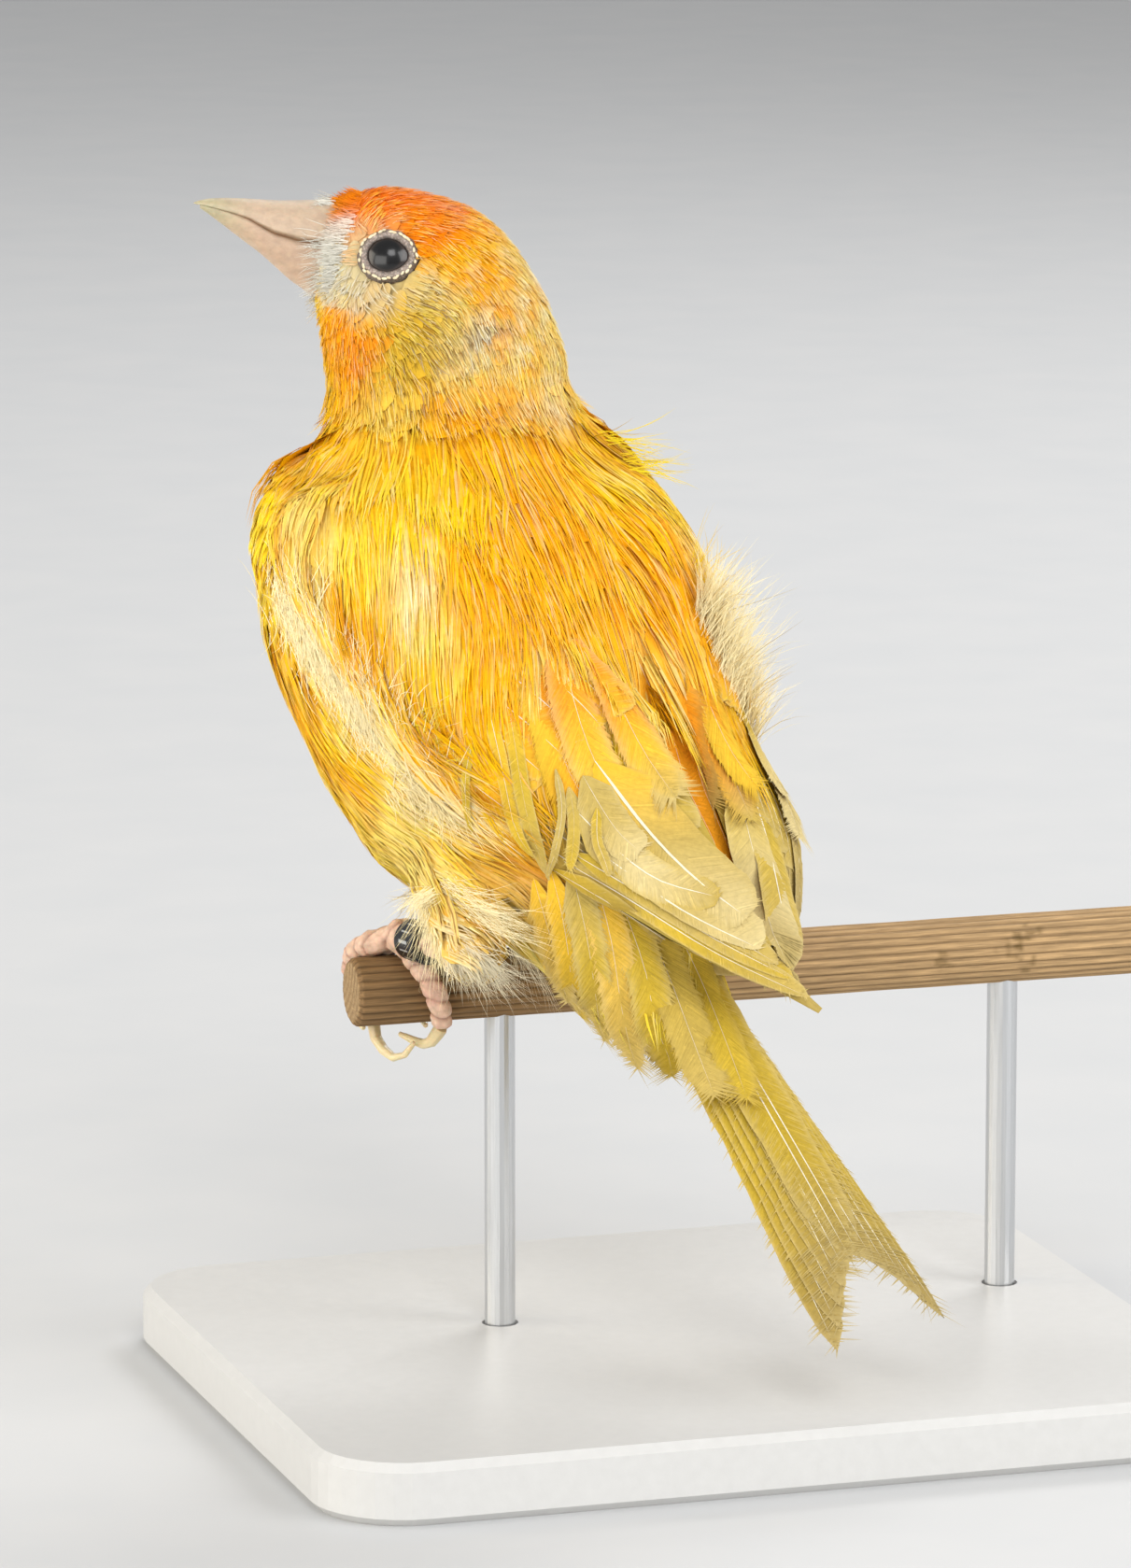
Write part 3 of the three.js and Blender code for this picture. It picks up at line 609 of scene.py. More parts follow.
def marking(points):
    """The plumage's colour at points of the body, with painted shade in the line under the head's feathers and
    in the spots of the deeper shade orange.
    """
    belly = smoothstep(4, -10, trunk.into(points)[:, 2])[:, None]
    weights = np.full(len(points), GROUND_WEIGHT)
    total = mix(GOLD, mix(GOLD, YELLOW, 0.5), belly) * weights[:, None]
    near = points + np.stack([waves(points, 3.0, 5 + k) for k in range(3)], 1) * SPOT_WAVER
    for at, radius, strength, tone in spots:
        share = strength * np.exp(-((near - at) ** 2).sum(1) / radius**2) * SPOT_WEIGHT
        total += share[:, None] * tone
        weights += share
    colour = total / weights[:, None]
    q = head.into(points)
    behind = smoothstep(-3, 4, q[:, 1]) * smoothstep(-11, -7, q[:, 2])
    patchy = waves(points, 1.5, 91)
    colour = mix(colour, CREAM, (behind * smoothstep(0.2, 1.2, patchy) * CREAM_MOTTLE)[:, None])
    colour = mix(colour, ORANGE, (behind * smoothstep(-0.2, -1.2, patchy) * ORANGE_MOTTLE)[:, None])
    # Painted shadow under the hem of the head's feathers
    hem = np.exp(-(((q[:, 2] - HEM_SHADOW_Z) / HEM_SHADOW_WIDTH) ** 2))[:, None]
    return mix(colour, SHADE_ORANGE, hem * HEM_SHADOW_STRENGTH)


# The lie of the coat

NECK_BASE = trunk.out((0, -27, 5))
BILL_ROOT = head.out((0, -14.5, 1.5))
# How the coat lies in the photograph: a pixel (x, y), and the way (right, down) that the feathers run from it
HEAD_ARROWS = (
    (372, 268, -10, 1), (364, 252, -9, -4), (358, 285, -9, 4), (355, 300, -7, 7), (350, 316, -4, 9),
    (378, 300, -3, 9), (360, 228, 0, -10), (368, 214, 5, -9), (385, 208, 10, -3), (372, 236, 4, -9),
    (392, 230, 8, -5), (413, 240, 10, 0), (438, 247, 9, 4), (454, 262, 6, 8), (456, 285, 4, 9),
    (430, 218, 10, 0), (470, 225, 10, 3), (520, 250, 8, 6), (560, 285, 6, 9), (590, 340, 2, 10),
    (602, 400, 1, 10), (480, 270, 8, 6), (500, 300, 6, 8), (520, 330, 4, 9), (398, 308, 9, 4),
    (425, 312, 10, 1), (452, 312, 9, 2), (472, 322, 8, 6), (490, 345, 4, 9), (410, 330, 6, 7),
    (430, 345, 8, 5), (455, 352, 9, 5), (478, 370, 7, 7), (425, 385, 5, 8), (455, 395, 7, 7),
    (485, 405, 5, 9), (405, 360, 3, 9), (408, 410, 3, 9), (430, 435, 3, 9), (465, 435, 3, 9),
    (375, 350, 1, 10), (385, 400, 2, 10), (358, 370, 1, 10), (375, 430, 1, 10), (505, 350, 1, 10),
    (518, 375, 1, 10), (560, 380, 2, 10), (540, 420, 2, 10), (500, 440, 2, 9), (590, 440, 3, 10),
)
BODY_ARROWS = (
    (345, 495, -6, 9), (310, 520, -6, 9), (285, 540, -5, 10), (266, 575, 0, 10), (272, 620, 2, 10),
    (330, 560, -1, 10), (370, 540, -4, 9), (400, 520, -5, 8), (370, 600, -1, 10), (385, 660, 0, 10),
    (400, 720, 2, 10), (420, 560, -1, 10), (440, 520, 1, 10), (450, 600, 1, 10), (455, 680, 3, 10),
    (480, 740, 3, 10), (490, 500, 6, 9), (520, 560, 4, 10), (540, 640, 2, 10), (550, 720, 4, 10),
    (560, 490, 8, 6), (600, 540, 5, 9), (610, 600, 4, 9), (620, 660, 4, 10), (620, 490, 9, 5),
    (660, 500, 9, 6), (660, 560, 6, 9), (680, 620, 4, 9), (700, 570, 6, 9), (740, 640, 5, 9),
    (720, 690, 5, 9), (770, 700, 4, 10), (800, 780, 4, 10), (290, 680, 4, 10), (310, 750, 4, 9),
    (340, 800, 6, 8), (380, 860, 8, 6), (430, 900, 9, 4), (480, 925, 10, 3), (540, 930, 10, 3),
    (400, 800, 8, 6), (460, 860, 9, 5), (520, 970, 9, 6), (570, 990, 6, 9), (600, 1040, 4, 10),
    (650, 1050, 4, 10), (690, 1100, 4, 10), (765, 860, 4, 10),
)


def combed(arrows, own_frame, radius):
    """The arrows on the body, and their mirror images on the bird's other side."""
    made = []
    for x, y, right, down in arrows:
        at = drape.seen(x, y)
        way = unit(drape.seen(x + 0.6 * right, y + 0.6 * down) - at)
        mirrored = own_frame.turn_out(own_frame.turn_in(way) * MIRROR)
        made += [(at, way, radius), (own_frame.out(own_frame.into(at) * MIRROR), mirrored, radius)]
    return made


# How far the arrows of the head and of the body reach, in millimetres
arrows = combed(HEAD_ARROWS, head, 2.4) + combed(BODY_ARROWS, trunk, 5)
# How much the general lie counts beside the arrows, and how much the lie wavers
GENERAL_LIE, LIE_WAVER = 0.06, 0.1


def lie(points, normals):
    """The direction in which the coat lies at points of the body."""
    q = head.into(points)
    on_head = smoothstep(-13, -8, q[:, 2])[:, None] * smoothstep(24, 18, np.linalg.norm(q, axis=1))[:, None]
    down = smoothstep(6, -9, q[:, 2])[:, None] * np.array([0, 0, -1.3])
    over_head = unit(points - BILL_ROOT) + down
    rear = trunk.turn_out((0, 1, 0))
    spread = smoothstep(10, -16, trunk.into(points)[:, 1])[:, None] * 0.9
    over_trunk = rear + unit(points - NECK_BASE) * spread
    way = mix(unit(over_trunk), unit(over_head), on_head) * GENERAL_LIE
    for at, arrow, radius in arrows:
        way = way + np.exp(-((points - at) ** 2).sum(1) / radius**2)[:, None] * arrow
    wobble = np.stack([waves(points, 9, 40 + k) for k in range(3)], 1)
    way = unit(way) + wobble * LIE_WAVER
    return unit(way - dot(way, normals) * normals)


def trace(surface, roots, lengths, knots, turn):
    """Lines laid on a surface along the lie of the coat, each turned a little from it at its root:
    their places, normals and directions, each (line, knot, 3)."""
    step = (lengths / (knots - 1))[:, None]
    at, normal = surface.snap(roots)
    way = lie(at, normal)
    side = np.cross(normal, way)
    way = unit(way * np.cos(turn)[:, None] + side * np.sin(turn)[:, None])
    places, normals, ways = [], [], []
    for knot in range(knots):
        places.append(at)
        normals.append(normal)
        ways.append(way)
        if knot < knots - 1:
            at, normal = surface.snap(at + way * step + normal * 0.3)
            way = unit(way * 0.55 + lie(at, normal) * 0.45)
            way = unit(way - dot(way, normal) * normal)
    return np.stack(places, 1), np.stack(normals, 1), np.stack(ways, 1)


def unbroken(places, normals):
    """Which traced lines run smoothly, without a jump across an edge."""
    steps = np.linalg.norm(np.diff(places, axis=1), axis=2)
    bend = (normals[:, :-1] * normals[:, 1:]).sum(2).min(1)
    return (bend > 0.6) & (steps.min(1) > 0.55 * steps.max(1))


def along(lines, t):
    """Values of lines (line, knot, 3) at shares t (line, n) of their length, and straight on past the end."""
    knots = lines.shape[1]
    x = t * (knots - 1)
    k = np.clip(np.floor(x).astype(int), 0, knots - 2)
    row = np.arange(len(lines))[:, None]
    return mix(lines[row, k], lines[row, k + 1], (x - k)[:, :, None])


# The bake's map: an unwrap of the body's own shape, by the angle round its spine and the way along it

SPINE = np.concatenate([
    head.out([(0, 0, 14), (0, 0, 0), (0, 0, -10)]),
    trunk.out([(0, -14, 1), (0, 0, 0), (0, 14, -1), (-2.6, 29, -1), (-10, 78, 0)]),
])
SPINE_AT = np.concatenate([[0], np.cumsum(np.linalg.norm(np.diff(SPINE, axis=0), axis=1))])
# The size of a tuft's patch, and the part of the map that the body takes up
PATCH, MAP_START, MAP_SPAN = 0.003, 0.02, 0.955


def unwrap(points):
    """The place of points of the body in the bake's map."""
    best = np.full(len(points), np.inf)
    where = np.zeros(len(points))
    foot = np.zeros_like(points)
    way = np.zeros_like(points)
    for a, b, start, end in zip(SPINE[:-1], SPINE[1:], SPINE_AT[:-1], SPINE_AT[1:]):
        t = np.clip((points - a) @ (b - a) / ((b - a) @ (b - a)), 0, 1)
        near = a + t[:, None] * (b - a)
        gap = np.linalg.norm(points - near, axis=1)
        closer = gap < best
        best = np.where(closer, gap, best)
        where = np.where(closer, mix(start, end, t), where)
        foot[closer] = near[closer]
        way[closer] = unit(b - a)
    left = trunk.turn_out((1, 0, 0))
    left = unit(left - dot(way, left) * way)
    front = np.cross(way, left)
    away = points - foot
    angle = np.arctan2((away * front).sum(1), (away * left).sum(1))
    return MAP_START + MAP_SPAN * np.stack([angle / (2 * np.pi) + 0.5, where / SPINE_AT[-1]], 1)


# Strands, plates and vanes

def strands(centres, widths, ups, tints, patches, thick=0.35):
    """Closed three-sided locks that narrow to a point, from centres (n, k, 3), widths (n, k), ups (n, k, 3),
    tints (n, k, 3) and patches (n, 2). Each ring has a left, a right and a top vertex, and again a left and
    a right one for the underside, whose normals face down."""
    count, rings = centres.shape[:2]
    side = unit(np.cross(np.gradient(centres, axis=1), ups))
    half = side * widths[:, :, None] / 2
    top = unit(ups) * widths[:, :, None] * thick
    ring = np.stack([centres - half, centres + half, centres + top, centres - half, centres + half], 2)
    verts = np.concatenate([ring[:, :-1].reshape(count, -1, 3), centres[:, -1:], centres[:, -1:]], 1)
    size = 5 * (rings - 1) + 2
    faces = [(0, 1, 2)]
    for low in range(0, 5 * (rings - 2), 5):
        for a, b in ((3, 4), (1, 2), (2, 0)):
            faces += [(low + a, low + 5 + a, low + 5 + b), (low + a, low + 5 + b, low + b)]
    last = 5 * (rings - 2)
    faces += [(last + 3, size - 1, last + 4), (last + 1, size - 2, last + 2), (last + 2, size - 2, last)]
    faces = np.array(faces)[None] + np.arange(count)[:, None, None] * size
    colour = np.concatenate([np.repeat(tints[:, :-1], 5, axis=1), tints[:, -1:], tints[:, -1:]], 1)
    share = np.concatenate([np.repeat(np.arange(rings - 1) / (rings - 1), 5), [1, 1]])
    across = np.concatenate([np.tile([0, 1, 0.5, 0, 1], rings - 1), [0.5, 0.5]])
    corner = np.stack([across, share], 1)
    patch = patches[:, None] + corner[None] * PATCH
    number = np.repeat(np.arange(count) * 0.37, size)
    weave = np.stack([number, np.tile(share, count)], 1)
    lean = 0.35 * side
    facing = np.stack([ups - lean, ups + lean, ups, -ups - lean, -ups + lean], 2)
    facing = facing[:, :-1].reshape(count, -1, 3)
    normals = unit(np.concatenate([facing, ups[:, -1:], -ups[:, -1:]], 1))
    return Shape(verts.reshape(-1, 3), faces.reshape(-1, 3), colour.reshape(-1, 3), patch.reshape(-1, 2),
                 weave, normals.reshape(-1, 3))


def sheet_faces(rows, columns):
    """Triangles of two grids, one over the other, with a wall round their rim."""
    size = rows * columns
    top = grid_faces(rows, columns)
    index = np.arange(size).reshape(rows, columns)
    rim = np.concatenate([index[0], index[1:, -1], index[-1, -2::-1], index[-2:0:-1, 0]])
    beside = np.roll(rim, -1)
    wall = [np.stack([rim, rim + size, beside + size], 1), np.stack([rim, beside + size, beside], 1)]
    return np.concatenate([top, top[:, ::-1] + size, *wall])


def plates(centres, sides, ups, halves, tints, patches, columns=5, cup=0.16, thick=0.05):
    """Thin cupped vanes, one for each line of centres (n, k, 3), with half-widths and tints for each knot."""
    count, rings = centres.shape[:2]
    across = np.linspace(-1, 1, columns)
    offset = across[None, None, :, None] * halves[:, :, None, None]
    sheet = centres[:, :, None] + sides[:, :, None] * offset
    sheet = sheet - ups[:, :, None] * (cup * offset**2 / np.maximum(halves[:, :, None, None], 0.2))
    verts = np.stack([sheet, sheet - ups[:, :, None] * thick], 1).reshape(count, -1, 3)
    size = 2 * rings * columns
    faces = sheet_faces(rings, columns)[None] + np.arange(count)[:, None, None] * size
    colour = np.repeat(tints, columns, axis=1)
    place = np.stack(np.meshgrid(across / 2 + 0.5, np.linspace(0, 1, rings)), -1).reshape(-1, 2)
    patch = patches[:, None] + np.concatenate([place, place])[None] * PATCH
    reach = np.linalg.norm(centres[:, -1] - centres[:, 0], axis=1)[:, None, None]
    weave_across = offset[..., 0] + np.arange(count)[:, None, None] * 7.3
    weave_along = np.broadcast_to(np.linspace(0, 1, rings)[None, :, None] * reach, weave_across.shape)
    weave = np.stack([weave_across, weave_along], -1).reshape(count, -1, 2)
    colour, weave = np.concatenate([colour, colour], 1), np.concatenate([weave, weave], 1)
    return Shape(verts.reshape(-1, 3), faces.reshape(-1, 3), colour.reshape(-1, 3), patch.reshape(-1, 2),
                 weave.reshape(-1, 2))


VANE_ROWS, VANE_COLUMNS = 20, 9
# The cells of a bake map for large feathers, and how much of its cell a feather fills
ATLAS_COLUMNS, ATLAS_START, ATLAS_CELL, ATLAS_FILL = 10, 0.01, 0.098, 0.09
# The share of its length over which a vane widens at its root, and how much its edges droop
VANE_ROOT, VANE_CUP = 0.1, 0.1
# How much of the rim's colour the edges take
RIM_SHARE = 0.4
# A feather is loose where its barbs stand out by more than this, in millimetres. Its vane then has this share
# of its width, and loses this share of its sweep at its tip
LOOSE_FRAY, LOOSE_WIDTH, LOOSE_SWEEP_LOSS = 1, 0.88, 0.6
# The powers that give most barbs of a firm vane, and fewer of a loose one, a short way out over the edge
FIRM_SHORTNESS, LOOSE_SHORTNESS = 1.5, 0.9
BARB_LEAST_WIDTH, BARB_MOST_WIDTH = 0.11, 0.19


def vane(line, ups, width, colours, rng, rim=None, share=0.5, sweep=0.6, tip=0.2, fray=0.5, shaft=0.16,
         patch=(0, 0), fringe=70):
    """One large feather along a line: a swept, cupped vane on a pale shaft, with fine barbs over it.
    colours run from root to tip, rim is the colour of its edges, share is how much of its width lies on its
    left, tip is the share of its length over which it narrows, fray is how far its barbs stand out over the
    edges, shaft is the shaft's width, and fringe is the number of barbs."""
    centre = curve(line, VANE_ROWS)
    t = np.linspace(0, 1, VANE_ROWS)
    up = interpolated(t, np.linspace(0, 1, len(ups)), ups)
    tangent = unit(np.gradient(centre, axis=0))
    side = unit(np.cross(up, tangent))
    up = np.cross(tangent, side)
    loose = fray > LOOSE_FRAY
    blunt = np.clip(1 - (np.maximum(t - 1 + tip, 0) / tip) ** 2, 0.0001, 1) ** 0.65
    outline = np.clip(0.25 + 0.75 * t / VANE_ROOT, 0, 1) * blunt * (LOOSE_WIDTH if loose else 1)
    a = np.linspace(-1, 1, VANE_COLUMNS)[None]
    reach = np.where(a < 0, share, 1 - share) * width * outline[:, None]
    ragged = 0.015 + 0.04 * min(fray, 1.5)
    offset = a * reach * (1 - np.abs(rng.normal(0, ragged, (VANE_ROWS, VANE_COLUMNS))) * np.abs(a) ** 4)
    swept = np.abs(offset) * sweep
    if loose:
        swept = swept * (1 - LOOSE_SWEEP_LOSS * smoothstep(0.6, 1, t[:, None]))
    ripple = rng.normal(0, 0.015, (VANE_ROWS, 1)) * np.abs(a)
    drop = VANE_CUP * offset**2 / (width / 2)
    sheet = centre[:, None] + side[:, None] * offset[..., None] + tangent[:, None] * swept[..., None]
    sheet = sheet + up[:, None] * (ripple - drop)[..., None]
    under = sheet - up[:, None] * 0.03
    tone = interpolated(t, np.linspace(0, 1, len(colours)), colours)
    tone = tone * np.exp(rng.normal(0, 0.03, (VANE_ROWS, 1)))
    tint = np.repeat(tone[:, None], VANE_COLUMNS, axis=1)
    edge_tone = tone if rim is None else mix(tone, rim, RIM_SHARE)
    edge = np.clip(smoothstep(0.7, 1, np.abs(a)) + smoothstep(0.93, 1, t[:, None]), 0, 1)[..., None]
    tint = mix(tint, edge_tone[:, None], edge)
    length = np.linalg.norm(np.diff(centre, axis=0), axis=1).sum()
    along_weave = t[:, None] * length + rng.uniform(0, 500) - swept
    weave = np.stack([along_weave, offset], 2).reshape(-1, 2)
    places = np.asarray(patch) + np.stack(np.meshgrid(a[0] / 2 + 0.5, t), -1).reshape(-1, 2) * ATLAS_FILL
    facing = unit(up[:, None] + side[:, None] * a[..., None] * 0.2).reshape(-1, 3)
    blade = Shape(np.concatenate([sheet.reshape(-1, 3), under.reshape(-1, 3)]),
                  sheet_faces(VANE_ROWS, VANE_COLUMNS)[:, ::-1], np.tile(tint.reshape(-1, 3), (2, 1)),
                  np.tile(places, (2, 1)), np.tile(weave, (2, 1)), np.concatenate([facing, -facing]))

    def at_share(rows, x):
        return interpolated(x, t, rows)

    quill_at = np.linspace(0, 0.97, 10)
    quill = at_share(centre + up * 0.03, quill_at)[None]
    thick = mix(1, 0.3, quill_at) * smoothstep(-0.1, 0.25, quill_at) * shaft
    quill_tint = np.broadcast_to(mix(FLIGHT["shaft"], tone.mean(0), 0.2), (1, 10, 3))
    stem = strands(quill, thick[None], at_share(up, quill_at)[None], quill_tint, np.array([patch]), 0.5)

    at = rng.uniform(0.04, 1, fringe) ** 0.8
    hand = rng.choice((-1, 1), fringe)
    row = at * (VANE_ROWS - 1)
    low_row = np.minimum(row.astype(int), VANE_ROWS - 2)
    part = (row - low_row)[:, None]
    middle = VANE_COLUMNS // 2

    def on_sheet(a):
        """Points of the vane at shares a of the way from its shaft to its edge."""
        column = middle + hand * np.minimum(a, 1) * middle
        left = np.minimum(column.astype(int), VANE_COLUMNS - 2)
        across = (column - left)[:, None]
        rows = [mix(sheet[low_row + k, left], sheet[low_row + k, left + 1], across) for k in (0, 1)]
        return mix(rows[0], rows[1], part)

    begin = rng.uniform(0.02, 0.5, fringe)
    reach = mix(begin, 1, rng.uniform(0.75, 1, fringe))
    shortness = LOOSE_SHORTNESS if loose else FIRM_SHORTNESS
    beyond = fray * rng.uniform(0, 1, (fringe, 1)) ** shortness * (1 + 1.5 * smoothstep(0.8, 1, at))[:, None]
    knots = [on_sheet(mix(begin, reach, s)) for s in (0, 0.5, 1)]
    over = at_share(up, at)
    last = knots[2] + unit(knots[2] - knots[1] + at_share(tangent, at) * 0.02) * beyond
    lines = np.stack([*knots, last], 1) + over[:, None] * rng.uniform(0.0, 0.03, (fringe, 1, 1))
    wide = rng.uniform(BARB_LEAST_WIDTH, BARB_MOST_WIDTH, (fringe, 1)) * np.array([0.8, 1, 0.8, 0])
    tones = at_share(tone, at)[:, None] * np.exp(rng.normal(0.02, 0.08, (fringe, 1, 1)))
    tones = mix(tones, at_share(edge_tone, at)[:, None], np.array([0, 0.2, 0.8, 1])[None, :, None])
    hair_ups = np.repeat(over[:, None], 4, axis=1)
    hairs = strands(lines, wide, hair_ups, tones, np.repeat([patch], fringe, axis=0), 0.2)
    return join([blade, stem, hairs])


def atlas(number):
    """A large feather's own place in its piece's bake map."""
    row, column = divmod(number, ATLAS_COLUMNS)
    return ATLAS_START + ATLAS_CELL * column, ATLAS_START + ATLAS_CELL * (row % ATLAS_COLUMNS)


def wisps(roots, normals, ways, lengths, widths, curl, tints, rng, knots=5):
    """Fine loose strands that wander as they grow."""
    count = len(roots)
    at, way = roots, unit(ways)
    bend = rng.normal(0, curl, (count, 3))
    line = [at]
    for _ in range(knots - 1):
        bend = bend + rng.normal(0, curl * 0.6, (count, 3))
        way = unit(way + bend / knots)
        at = at + way * (lengths / (knots - 1))[:, None]
        line.append(at)
    centres = np.stack(line, 1)
    ups = np.repeat(unit(normals + rng.normal(0, 0.25, normals.shape))[:, None], knots, axis=1)
    widths = widths[:, None] * np.linspace(1, 0, knots) ** 0.6
    return strands(centres, widths, ups, np.repeat(tints[:, None], knots, axis=1), unwrap(roots), 0.8)


# Contour feathers: barbs in tufts over thin vanes of the same colours

# How far a tuft's vane reaches along it, and how far it lies under the barbs, as a share of the lift
TUFT_VANE_END, TUFT_VANE_DEPTH = 0.66, 0.09
# Some tufts are paler and some darker than their place: how much of these colours they take
LEMON_FLECK, ORANGE_FLECK = 0.45, 0.4


def tufts(places, normals, ways, widths, rng, barbs, lift, barb_width, gather, stagger, loose, pale,
          vane_columns=4, dark=0.0):
    """Barbs run side by side along each traced line and draw together towards its tip, over a thin vane.
    lift is how high their roots and tips lie over the traced surface, gather is how far they draw together,
    stagger how far apart their roots start, loose how far they stray as a share of the tuft's width, pale how
    pale the palest are, and dark the share of dark ones."""
    count = len(places)
    sides = np.cross(normals, ways)
    half = widths[:, None] / 2
    low, high = lift
    layer = rng.normal(0, 0.05, (count, 1)) * (high - low)

    def height(t):
        return mix(low, high, np.clip(t, 0, 1.2) ** 0.8) + layer * t

    vane_halves = half * np.array([0.6, 0.9, 0.95, 0.75, 0.25])
    t = np.tile(np.linspace(0.0, TUFT_VANE_END, vane_halves.shape[1]), (count, 1))
    centre = along(places, t) + along(normals, t) * (height(t) - TUFT_VANE_DEPTH * (high - low))[:, :, None]
    tints = marking(centre.reshape(-1, 3)).reshape(centre.shape) * UNDERLIGHT
    root_patch = unwrap(places[:, 0])
    vane_sides, vane_ups = along(sides, t), along(normals, t)
    made = [plates(centre, vane_sides, vane_ups, vane_halves, tints, root_patch, vane_columns, 0.08)]

    across = rng.uniform(-1, 1, (count, barbs))
    start = rng.uniform(0, stagger, (count, barbs))
    end = rng.uniform(0.75, 1.1, (count, barbs)) - 0.12 * np.abs(across)
    stray = rng.normal(0, loose, (count, barbs)) * widths[:, None]
    rise = (rng.uniform(0, 1, (count, barbs)) ** 3 + 0.5 * (1 - across**2)) * 0.14 * (high - low)
    steps = np.array([0, 0.33, 0.68, 1.0])
    centres, ups = [], []
    for s in steps:
        t = mix(start, end, s)
        off = half * across * (1 - gather * np.clip(t, 0, 1) ** 1.6) + stray * (s * (end - start)) ** 2
        up = along(normals, t)
        over = height(t) + rise * s - 0.08 * off**2 / half
        centres.append(along(places, t) + along(sides, t) * off[:, :, None] + up * over[:, :, None])
        ups.append(up)
    tone = marking(centres[1].reshape(-1, 3)).reshape(count, barbs, 3)
    tone = tone * np.exp(rng.normal(0, 0.04, (count, barbs, 1)))
    is_dark = rng.uniform(0, 1, (count, barbs, 1)) < np.reshape(dark, (-1, 1, 1))
    tone = np.where(is_dark, tone * DARK_BARB, tone)
    fleck = rng.normal(0, 1, (count, 1, 1))
    tone = mix(tone, LEMON, np.clip(fleck - 0.7, 0, 1) * LEMON_FLECK)
    tone = mix(tone, ORANGE, np.clip(-fleck - 0.9, 0, 1) * ORANGE_FLECK)
    warm = rng.normal(0, 0.05, (count, barbs))
    tone = tone * np.stack([1 + 0 * warm, 1 + warm, 1 + 2 * warm], 2)
    light = pale * rng.uniform(0, 1, (count, barbs, 1)) ** 5
    # Painted shade: each barb is darker and warmer towards its root, deep in the coat, and paler at its tip
    colours = [mix(tone * mix(SHADED_BARB_ROOT, BARB_TIP, s**1.5), CREAM, light * mix(0.5, 1, s)) for s in steps]
    taper = np.array([0.6, 1, 0.8, 0])
    wide = barb_width * rng.uniform(0.7, 1.3, (count, barbs, 1)) * taper

    def flat(parts):
        return np.stack(parts, 2).reshape(count * barbs, len(steps), 3)

    made.append(strands(flat(centres), wide.reshape(-1, len(steps)), flat(ups), flat(colours),
                        np.repeat(root_patch, barbs, axis=0), 0.16))
    return join(made)


# Materials

# The Mix node's sockets for colours
MIX_SHARE, MIX_FIRST, MIX_SECOND, MIX_RESULT = 0, 6, 7, 2


class Look:
    """A material of shader nodes, built up call by call."""

    def __init__(self, name, roughness, **sockets):
        self.material = bpy.data.materials.new(name)
        self.material.use_nodes = True
        self.tree = self.material.node_tree
        self.shader = self.tree.nodes["Principled BSDF"]
        self.shader.inputs["Roughness"].default_value = roughness
        for socket, value in sockets.items():
            self.shader.inputs[socket.replace("_", " ")].default_value = value

    def node(self, kind, inputs, **settings):
        made = self.tree.nodes.new("ShaderNode" + kind)
        for key, value in settings.items():
            setattr(made, key, value)
        for socket, value in inputs.items():
            self.feed(made.inputs[socket], value)
        return made

    def feed(self, socket, value):
        """A link or a fixed value for a node's socket."""
        if isinstance(value, bpy.types.NodeSocket):
            self.tree.links.new(value, socket)
        else:
            socket.default_value = value

    def place(self, stretch=(1, 1, 1)):
        """Object coordinates in millimetres, stretched."""
        at = self.node("TexCoord", {}).outputs["Object"]
        scale = tuple(s / MM for s in stretch)
        return self.node("VectorMath", {0: at, 1: scale}, operation="MULTIPLY").outputs["Vector"]

    def attribute(self, name, output, stretch=None):
        made = self.node("Attribute", {}, attribute_name=name).outputs[output]
        if stretch is None:
            return made
        return self.node("VectorMath", {0: made, 1: stretch}, operation="MULTIPLY").outputs["Vector"]

    def noise(self, vector, scale=1, detail=2, roughness=0.5):
        inputs = {"Vector": vector, "Scale": scale, "Detail": detail, "Roughness": roughness}
        return self.node("TexNoise", inputs).outputs["Fac"]

    def cells(self, vector, scale):
        return self.node("TexVoronoi", {"Vector": vector, "Scale": scale}).outputs["Distance"]

    def spread(self, value, low, high, start=0.0, end=1.0):
        inputs = {"Value": value, "From Min": start, "From Max": end, "To Min": low, "To Max": high}
        return self.node("MapRange", inputs).outputs["Result"]

    def times(self, colour, share):
        return self.node("VectorMath", {0: colour, "Scale": share}, operation="SCALE").outputs["Vector"]

    def blend(self, first, second, share):
        made = self.node("Mix", {}, data_type="RGBA")
        for socket, value in ((MIX_SHARE, share), (MIX_FIRST, first), (MIX_SECOND, second)):
            self.feed(made.inputs[socket], value)
        return made.outputs[MIX_RESULT]

    def bump(self, height, depth, strength=1):
        """Height from 0 to 1 as relief of the given depth in millimetres."""
        made = self.node("Bump", {"Height": height, "Distance": depth * MM, "Strength": strength})
        self.tree.links.new(made.outputs["Normal"], self.shader.inputs["Normal"])

    def use(self, socket, output):
        self.tree.links.new(output, self.shader.inputs[socket])


def feather_look(name, roughness, streak, relief):
    """Barbs and vanes: the mesh's tint, streaked along the barbs and mottled very finely.
    streak is how much the streaks differ in lightness, and relief how deep they are in millimetres."""
    look = Look(name, roughness, Specular_IOR_Level=0.06)
    barbs = look.noise(look.attribute("weave", "Vector", (3.4, 0.3, 0)), 1, 3, 0.65)
    mottle = look.noise(look.place(), 2.2, 2)
    tint = look.times(look.attribute("tint", "Color"), look.spread(barbs, 1 - streak, 1 + streak, 0.25, 0.75))
    look.use("Base Color", look.times(tint, look.spread(mottle, 0.88, 1.03, 0.25, 0.75)))
    look.bump(barbs, relief)
    return look.material


PLUMAGE = feather_look("plumage", 0.6, 0.09, 0.03)
FLIGHTS = feather_look("flights", 0.5, 0.1, 0.05)


# Skin

BODY_DEPTH, HEAD_DEPTH, FACE_DEPTH = 1.7, 0.8, 0.3


